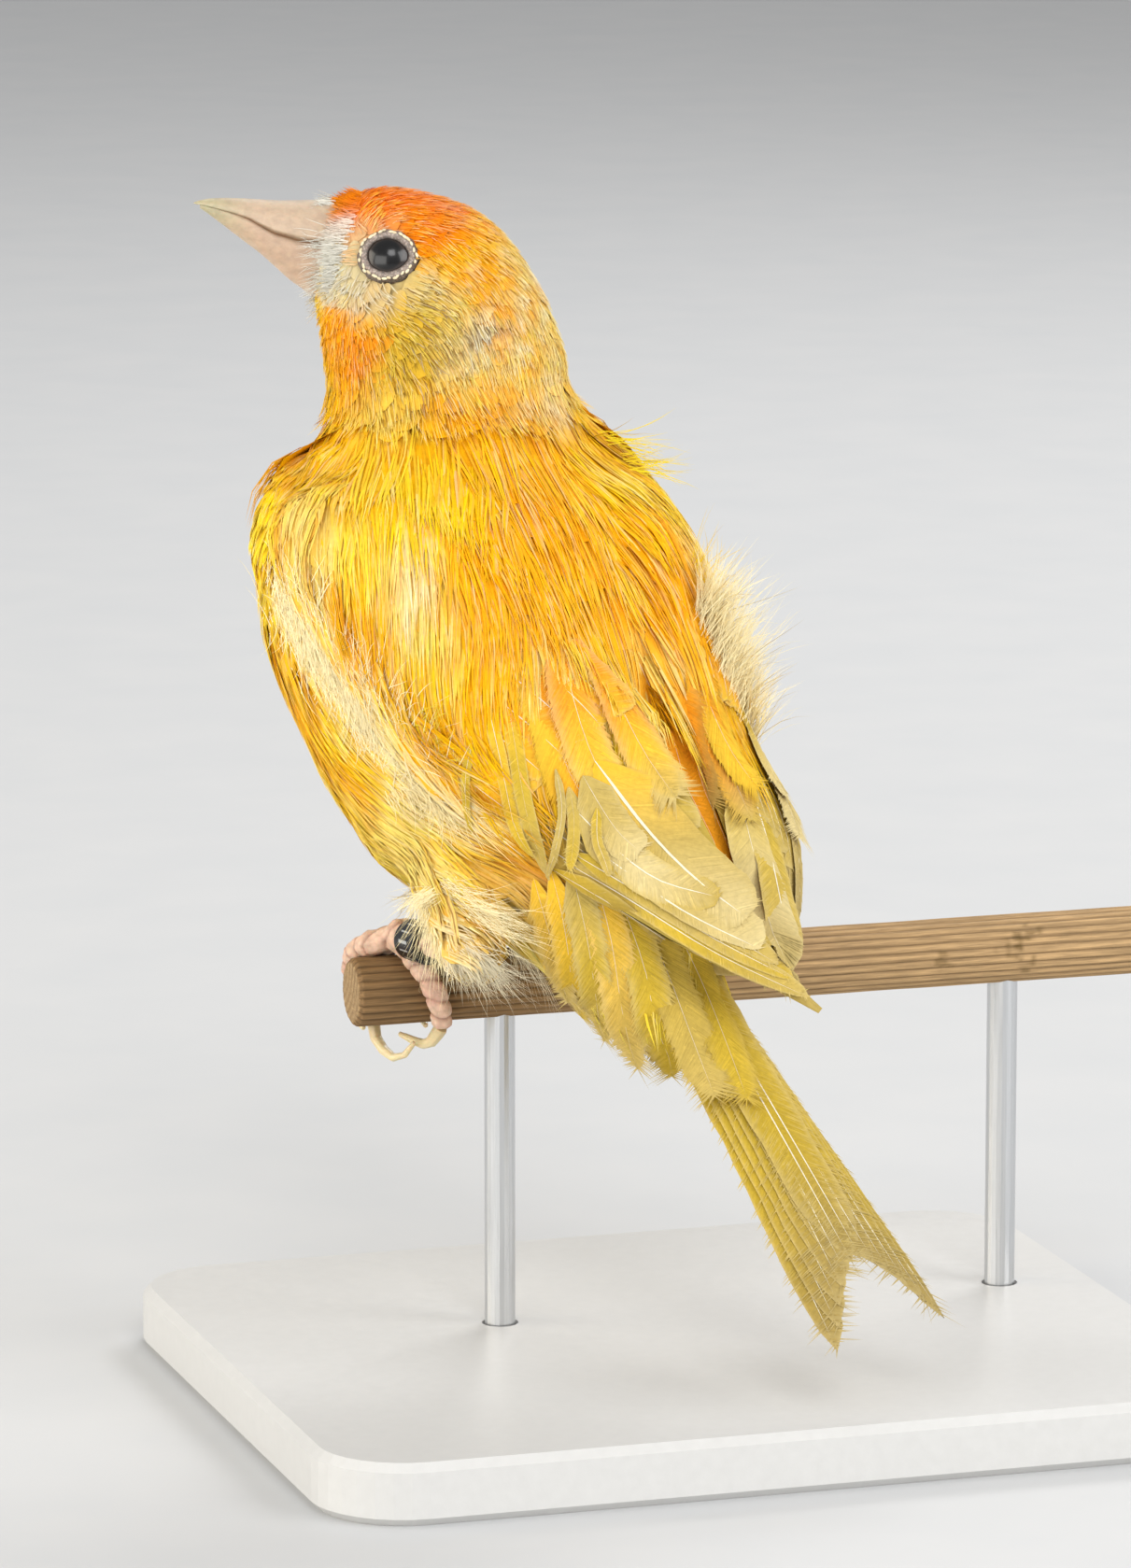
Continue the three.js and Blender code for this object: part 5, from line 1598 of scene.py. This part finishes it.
def mandible(ridge, tip, width, upper):
    """One half of the bill, from its gape to its ridge, up to the share tip of the bill's length."""
    t = (np.linspace(0, 1, BILL_ROWS) ** 0.8 * tip)[:, None]
    gape = profile(GAPE, t)
    ridge_high = profile(ridge, t)
    turn = np.linspace(0, np.pi, 27)[None]
    x = width * bill_width(t) * np.sign(np.cos(turn)) * np.abs(np.cos(turn)) ** 0.8
    rise = np.sin(turn) ** 0.9
    high = gape + (ridge_high - gape) * rise
    back = np.linspace(-0.8, 0.8, 7)[None]
    inner_x = width * bill_width(t) * back
    inner = gape + (0.25 if upper else -0.15) * (ridge_high - gape) * (1 - back**2) * (1 if upper else 0.5)
    x = np.hstack([x, inner_x])
    high = np.hstack([high, np.broadcast_to(inner, inner_x.shape)])
    rings = bill_point(t, x, high)
    if upper:
        rings = rings[:, ::-1]
    verts, faces = closed_tube(rings)
    share = np.append(np.repeat(t, x.shape[1]), (0, tip))
    near_gape = np.append(np.hstack([1 - rise + 0 * t, np.ones_like(inner_x)]).ravel(), (1, 1))
    if upper:
        near_gape[:-2] = near_gape[:-2].reshape(BILL_ROWS, -1)[:, ::-1].ravel()
    horn = linear(186, 162, 138) if upper else linear(188, 160, 136)
    tint = mix(horn, linear(172, 164, 130), smoothstep(0.55, 1.0, share)[:, None])
    at_gape = smoothstep(0.86, 1.0, near_gape) * 0.8 * smoothstep(1, 0.5, share)
    tint = mix(tint, linear(120, 84, 44), at_gape[:, None])
    ridge_light = smoothstep(0.35, 0.0, near_gape)[:, None] * 0.25
    return Shape(verts, faces, mix(tint, linear(222, 206, 182), ridge_light))


def add_bill():
    horn = Look("bill", 0.42, Subsurface_Weight=0.15, Subsurface_Scale=0.0008, Coat_Weight=0.1,
                Coat_Roughness=0.3)
    streaks = horn.noise(horn.place((1.2, 0.5, 1.6)), 1, 4, 0.6)
    flakes = horn.noise(horn.place(), 1.1, 3)
    tint = horn.times(horn.attribute("tint", "Color"), horn.spread(streaks, 0.86, 1.1, 0.3, 0.7))
    horn.use("Base Color", horn.blend(tint, (0.62, 0.48, 0.3, 1), horn.spread(flakes, 0, 0.35, 0.58, 0.75)))
    horn.bump(streaks, 0.06)
    add_piece("bill_top", mandible(CULMEN, 1.045, 1.0, True), horn.material, "bill", ("bill_upper",))
    add_piece("bill_bottom", mandible(GONYS, 1.0, 0.94, False), horn.material, "bill", ("bill_lower",))
    nostril = Look("nostril", 0.5)
    mottle = nostril.noise(nostril.place(), 4)
    nostril.use("Base Color", nostril.blend((0.1, 0.02, 0.02, 1), (0.2, 0.05, 0.04, 1), mottle))
    made = []
    for side in (1, -1):
        at = bill_point(0.15, side * 2.35, 3.3)
        verts, faces = ball(at, (0.3, 0.62, 0.24), 10, 14)
        made.append(Shape(verts, faces, linear(90, 30, 28)))
    add_piece("nostrils", join(made), nostril.material, "bill")


# Bristles round the bill's root, in groups on both sides: the share of the bill's length and the height over
# its middle where their roots lie, how far these spread up and out, which way they point in the head's frame,
# how many there are and how long they are
BRISTLES = (
    (0.06, 1.2, 1.0, 3.6, (0.3, -1.0, 0.0), 90, 3.6), (0.08, -1.5, 0.9, 3.4, (0.3, -1.0, -0.4), 90, 3.4),
    (0.05, 4.6, 0.3, 1.4, (0.1, -1.0, 0.12), 160, 2.0), (0.16, -3.8, 0.8, 1.2, (0.2, -0.9, -0.6), 60, 1.6),
)


def bristles():
    rng = np.random.default_rng(61)
    made = []
    for share, high, spread, half_width, way, count, length in BRISTLES:
        for side in (1, -1):
            t = share + rng.normal(0, 0.012, count)
            up = high + rng.normal(0, spread, count)
            x = side * np.clip(bill_width(t) * rng.uniform(0.5, 1.0, count), 0, half_width)
            ways = head.turn_out(np.array(way) * (side, 1, 1) + rng.normal(0, 0.18, (count, 3)))
            lengths, widths = length * rng.uniform(0.35, 1.0, count), np.full(count, 0.08)
            tints = mix(WHITE, FACE, 0.5) * np.exp(rng.normal(0, 0.05, (count, 1)))
            out = unit(head.turn_out(np.stack([x, 0 * x, up / 2], 1)))
            made.append(wisps(bill_point(t, x, up), out, ways, lengths, widths, 0.22, tints, rng))
    add_piece("bristles", join(made), PLUMAGE, "plumage")


COLLAR_FEATHERS = 3000


def collar():
    """Short feathers that lie forward over the bill's root."""
    rng = np.random.default_rng(62)
    count = COLLAR_FEATHERS
    t = rng.uniform(-0.2, 0.02, count)
    turn = rng.uniform(0, 2 * np.pi, count)
    top, bottom = profile(CULMEN, t), profile(GONYS, t)
    high = (top + bottom) / 2 + (top - bottom) / 2 * np.sin(turn)
    roots = bill_point(t, bill_width(t) * np.cos(turn), high)
    at, normals = drape.snap(roots)
    roots = at - normals * 0.2
    out = head.turn_out(np.stack([np.cos(turn), 0 * turn, np.sin(turn)], 1))
    ways = head.turn_out((0, -1, 0)) + out * rng.uniform(0.0, 0.3, (count, 1))
    ways = ways + rng.normal(0, 0.18, (count, 3))
    tints = mix(marking(at), WHITE * 0.85, smoothstep(0.75, 0.45, np.sin(turn))[:, None] * 0.8)
    tints = tints * np.exp(rng.normal(0, 0.05, (count, 1)))
    lengths = rng.uniform(0.8, 1.7, count)
    keep = head.into(at)[:, 1] > np.where(np.sin(turn) < -0.2, -10.8, -12.5)
    roots, out, ways, lengths, tints = (rows[keep] for rows in (roots, out, ways, lengths, tints))
    made = wisps(roots, out, ways, lengths, np.full(len(roots), 0.11), 0.12, tints, rng, 4)
    add_piece("collar", made, PLUMAGE, "plumage", (), True)


# Feet and claws

PERCH_RADIUS, PERCH_Y, PERCH_Z = 3.35, -8, 40
# The length of a scale across the toes
SCUTE = 1.5


def add_feet():
    hide = Look("bare_legs", 0.48, Subsurface_Weight=0.25, Subsurface_Scale=0.0008)
    scales = hide.cells(hide.place(), 1.5)
    grain = hide.noise(hide.place(), 4, 3)
    tint = hide.times(hide.attribute("tint", "Color"), hide.spread(scales, 1.06, 0.82, 0.1, 0.75))
    hide.use("Base Color", hide.times(tint, hide.spread(grain, 0.88, 1.1)))
    hide.bump(hide.node("Math", {0: scales, 1: grain}, operation="MULTIPLY").outputs[0], 0.15)
    for side in ("left", "right"):
        verts, faces = fused([node_mesh(f"{part}_{side}", 0.12) for part in ("leg", "foot")], 0.2, 3)
        normals = normals_of(verts, faces)
        y, z = verts[:, 1] - PERCH_Y, verts[:, 2] - PERCH_Z
        along_toe = np.arctan2(z, y) * (PERCH_RADIUS + 1.2)
        fold = np.abs(np.sin(np.pi * along_toe / SCUTE + 0.4 * waves(verts, 3, 71)))
        ridge = (1 - fold) ** 3
        lumps = waves(verts, 0.9, 72)
        verts = verts - normals * (0.22 * ridge - 0.05 * lumps)[:, None]
        tint = mix(linear(222, 186, 160), linear(160, 112, 92), np.clip(ridge * 0.9, 0, 1)[:, None])
        tint = mix(tint, linear(206, 150, 134), smoothstep(0.2, 1.4, waves(verts, 3, 73))[:, None] * 0.6)
        add_piece(f"foot_and_leg_{side}", Shape(verts, faces, tint), hide.material, "bare_legs",
                  (f"leg_{side}", f"foot_{side}"))


def add_claws():
    horn = Look("claws", 0.3, Coat_Weight=0.3, Coat_Roughness=0.2, Subsurface_Weight=0.2,
                Subsurface_Scale=0.0005)
    streaks = horn.noise(horn.place((1, 1, 3)), 1.5, 3)
    horn.use("Base Color", horn.times(horn.attribute("tint", "Color"), horn.spread(streaks, 0.8, 1.1)))
    horn.bump(streaks, 0.04)
    for side in ("left", "right"):
        for toe in range(1, 5):
            verts, faces = fused([node_mesh(f"claw_{side}_{toe}", 0.05)], 0.1, 2)
            low = verts[:, 2].min()
            near_toe = smoothstep(low, low + 4, verts[:, 2])[:, None]
            tint = mix(linear(226, 208, 160), linear(198, 172, 124), near_toe)
            add_piece(f"horn_{side}_{toe}", Shape(verts, faces, tint), horn.material, "claws",
                      (f"claw_{side}_{toe}",))


# Leg ring

RING_INNER, RING_LENGTH, LEG_HEADING = 1.45, 4.0, 9
RING_STEPS = 160
# The ring's wall, as places along it and out from its inside
RING_SECTION = ((0.12, 0), (0, 0.12), (0, 0.43), (0.12, 0.55), (3.88, 0.55), (4, 0.43), (4, 0.12), (3.88, 0))
STROKES = 6


def add_ring():
    """The closed ring, with short pale strokes that stand for its marks."""
    verts, _ = node_mesh("leg_ring")
    middle = (verts.min(0) + verts.max(0)) / 2
    a = math.radians(LEG_HEADING)
    axis = unit(np.array([-math.sin(a), math.cos(a), 0.05]))
    up = unit(np.array([0, 0, 1.0]) - axis * axis[2])
    side = np.cross(axis, up)
    section = []
    for (a0, r0), (a1, r1) in zip(RING_SECTION, RING_SECTION[1:] + RING_SECTION[:1]):
        steps = 24 if abs(a1 - a0) > 1 else 2
        section += [(mix(a0, a1, k / steps), mix(r0, r1, k / steps)) for k in range(steps)]
    section = np.array(section)
    turn = np.linspace(0, 2 * np.pi, RING_STEPS, endpoint=False)[:, None]
    out = RING_INNER + section[:, 1]
    way = np.cos(turn)[..., None] * up + np.sin(turn)[..., None] * side
    verts = middle + axis * (section[:, 0] - RING_LENGTH / 2)[None, :, None] + way * out[None, :, None]
    on_outside = (section[:, 1] > 0.54)[None]
    band = np.abs(section[:, 0] - RING_LENGTH / 2)[None] < 0.8
    stroke = np.zeros((RING_STEPS, len(section)))
    for k in range(STROKES):
        start = int(RING_STEPS * k / STROKES / 2.2)
        reach = slice(start, start + (2 if k % 3 else 4))
        stroke[reach] = 1
    tint = mix(linear(28, 30, 34), linear(190, 192, 190), (stroke * on_outside * band)[..., None])
    worn = Look("leg_ring", 0.28, Metallic=0.5)
    wear = worn.noise(worn.place(), 2.5, 5, 0.7)
    scuffs = worn.spread(wear, 0, 0.5, 0.6, 0.8)
    worn.use("Base Color", worn.blend(worn.attribute("tint", "Color"), (0.3, 0.3, 0.3, 1), scuffs))
    worn.use("Roughness", worn.spread(wear, 0.2, 0.45))
    worn.bump(wear, 0.02)
    ring = Shape(verts.reshape(-1, 3), loop_faces(RING_STEPS, len(section)), tint.reshape(-1, 3))
    add_piece("ring", ring, worn.material, "leg_ring", ("leg_ring",))


# Perch

PERCH_START, PERCH_END, FLUTES, FLUTE_DEPTH, CHAMFER = -58, 31, 24, 0.22, 0.5
PERCH_ROWS, PERCH_COLUMNS = 200, 240
# Where droppings have stained the perch, as pixels
STAIN_PIXELS = ((1090, 1005), (1082, 1018), (1096, 1034), (1104, 998), (1010, 1030))


def perch_at(x, turn, radius):
    y, z = PERCH_Y + radius * np.cos(turn), PERCH_Z + radius * np.sin(turn)
    return np.stack(np.broadcast_arrays(x, y, z), -1)


def perch_seen(x, y):
    """The point of the perch's side that the camera sees at a pixel."""
    ray = sight(x, y)
    shift = CAMERA_AT[1:] - (PERCH_Y, PERCH_Z)
    a, b = ray[1:] @ ray[1:], shift @ ray[1:]
    reach = (-b - math.sqrt(max(b * b - a * (shift @ shift - PERCH_RADIUS**2), 0))) / a
    return CAMERA_AT + ray * reach


def add_perch():
    x = np.concatenate([
        np.full(7, PERCH_START), np.linspace(PERCH_START, PERCH_START + CHAMFER, 5)[1:-1],
        np.linspace(PERCH_START + CHAMFER, PERCH_END - CHAMFER, PERCH_ROWS),
        np.linspace(PERCH_END - CHAMFER, PERCH_END, 5)[1:-1], np.full(7, PERCH_END),
    ])[:, None]
    inside = np.linspace(0.05, 1, 7) * (PERCH_RADIUS - CHAMFER)
    bevel = PERCH_RADIUS - CHAMFER + CHAMFER * np.sin(np.linspace(0, np.pi / 2, 5)[1:-1])
    side = np.full(PERCH_ROWS, PERCH_RADIUS)
    radius = np.concatenate([inside, bevel, side, bevel[::-1], inside[::-1]])[:, None]
    turn = np.linspace(0, 2 * np.pi, PERCH_COLUMNS, endpoint=False)[None]
    flute = np.abs(np.sin(turn * FLUTES / 2)) ** 0.6
    full = smoothstep(PERCH_RADIUS - 1.2, PERCH_RADIUS, radius)
    base = perch_at(x, turn, radius)
    fibre = waves(base.reshape(-1, 3) * (0.06, 1, 1), 0.35, 81).reshape(base.shape[:2])
    radius = radius - full * (FLUTE_DEPTH * (1 - flute) - 0.02 * fibre)
    verts, faces = closed_tube(perch_at(x, turn, radius)[:, ::-1])
    # Darker brown towards +x, where the perch runs under the bird: partly the wood's own colour, partly painted
    # shade under the bird
    pale, dark_wood_and_shade = linear(178, 146, 104), linear(104, 74, 40)
    tint = mix(pale, dark_wood_and_shade, smoothstep(-6, 22, verts[:, 0])[:, None] * 0.7)
    # Painted shade: darker down in the flutes and a little lighter on the ribs between them
    groove_shade = np.append(((1 - flute) * full)[:, ::-1].ravel(), (0, 0))
    tint = tint * (1.08 - 0.55 * groove_shade[:, None])
    rings = 0.5 + 0.5 * np.sin(np.hypot(verts[:, 1] - PERCH_Y + 5, verts[:, 2] - PERCH_Z - 3) * 7)
    end = (np.abs(verts[:, 0] - (PERCH_START + PERCH_END) / 2) > (PERCH_END - PERCH_START) / 2 - 0.1)[:, None]
    tint = np.where(end, mix(linear(172, 144, 104), linear(120, 90, 56), rings[:, None] * 0.6), tint)
    for pixel in STAIN_PIXELS:
        near = np.linalg.norm((verts - perch_seen(*pixel)) * (0.8, 1, 1), axis=1)
        spot = smoothstep(0.9, 0.1, near + 0.6 * waves(verts, 0.6, 82)) * 0.5
        tint = mix(tint, linear(96, 74, 34), spot[:, None])
    wood = Look("perch_wood", 0.75, Specular_IOR_Level=0.25)
    grain = wood.noise(wood.place((0.09, 2.2, 2.2)), 1.3, 5, 0.7)
    pores = wood.noise(wood.place((0.35, 6, 6)), 1, 2)
    shade = wood.times(wood.attribute("tint", "Color"), wood.spread(grain, 0.6, 1.3, 0.25, 0.75))
    wood.use("Base Color", wood.times(shade, wood.spread(pores, 0.75, 1.1, 0.25, 0.6)))
    wood.bump(grain, 0.12)
    add_piece("perch_dowel", Shape(verts, faces, tint), wood.material, "perch_wood", ("perch",))


# Display stand

def add_stand_materials():
    paint = Look("stand_plate", 0.45, Coat_Weight=0.15, Coat_Roughness=0.3)
    peel = paint.noise(paint.place(), 0.8, 3)
    paint.use("Base Color", paint.blend((0.56, 0.555, 0.54, 1), (0.62, 0.615, 0.6, 1), peel))
    paint.use("Roughness", paint.spread(peel, 0.38, 0.52))
    paint.bump(peel, 0.03)
    steel = Look("stand_rods", 0.3, Metallic=1.0)
    brush = steel.noise(steel.place((5, 5, 0.08)), 1.5, 4)
    steel.use("Base Color", steel.blend((0.55, 0.56, 0.57, 1), (0.72, 0.73, 0.74, 1), brush))
    steel.use("Roughness", steel.spread(brush, 0.22, 0.42))
    steel.bump(brush, 0.02)
    for name, look in (("stand_base", paint), ("stand_rod_1", steel), ("stand_rod_2", steel)):
        nodes[name].data.materials.clear()
        nodes[name].data.materials.append(look.material)


# Stage

def area_light(name, at, toward, size, power, colour=(1, 1, 1)):
    light = bpy.data.lights.new(name, "AREA")
    light.shape = "RECTANGLE"
    light.size, light.size_y = size
    light.energy = power
    light.color = colour
    lamp = bpy.data.objects.new(name, light)
    lamp.location = at
    lamp.rotation_euler = (Vector(toward) - Vector(at)).to_track_quat("-Z", "Y").to_euler()
    bpy.context.scene.collection.objects.link(lamp)


def add_stage():
    look = Look("floor", 0.7)
    grain = look.noise(look.place(), 0.06, 3)
    look.use("Base Color", look.blend((0.55, 0.56, 0.57, 1), (0.6, 0.6, 0.6, 1), grain))
    mesh = bpy.data.meshes.new("floor")
    mesh.from_pydata([(-6, -6, 0), (6, -6, 0), (6, 6, 0), (-6, 6, 0)], [], [(0, 1, 2, 3)])
    mesh.materials.append(look.material)
    floor = bpy.data.objects.new("floor", mesh)
    bpy.context.scene.collection.objects.link(floor)
    world = bpy.data.worlds.new("studio")
    world.use_nodes = True
    world.node_tree.nodes["Background"].inputs["Color"].default_value = (0.95, 0.95, 0.95, 1)
    world.node_tree.nodes["Background"].inputs["Strength"].default_value = 0.56
    bpy.context.scene.world = world
    bpy.context.scene.view_settings.view_transform = "Standard"
    middle = (0.01, -0.01, 0.08)
    area_light("key", (0.1, 0.85, 0.8), middle, (0.45, 0.45), 3.85)
    area_light("fill", (0.75, 0.55, 0.2), middle, (0.8, 0.6), 4.8, (1, 0.98, 0.94))
    area_light("side", (-0.6, 0.6, 0.45), middle, (0.6, 0.6), 5.0)
    area_light("glow", (0.75, -0.15, 0.25), middle, (0.5, 0.5), 3.0, (1, 0.93, 0.8))
    area_light("rim", (-0.5, -0.6, 0.7), middle, (0.5, 0.3), 4)


add_camera()
add_skin()
body_coat()
head_coat()
for wing_side, wing_name in ((1, "wing_left"), (-1, "wing_right")):
    wing_feathers(wing_side, wing_name)
    wing_inner(wing_side, wing_name)
tail_feathers()
shown_feathers()
down()
add_eyes()
add_bill()
bristles()
collar()
add_feet()
add_claws()
add_ring()
add_perch()
add_stand_materials()
add_stage()
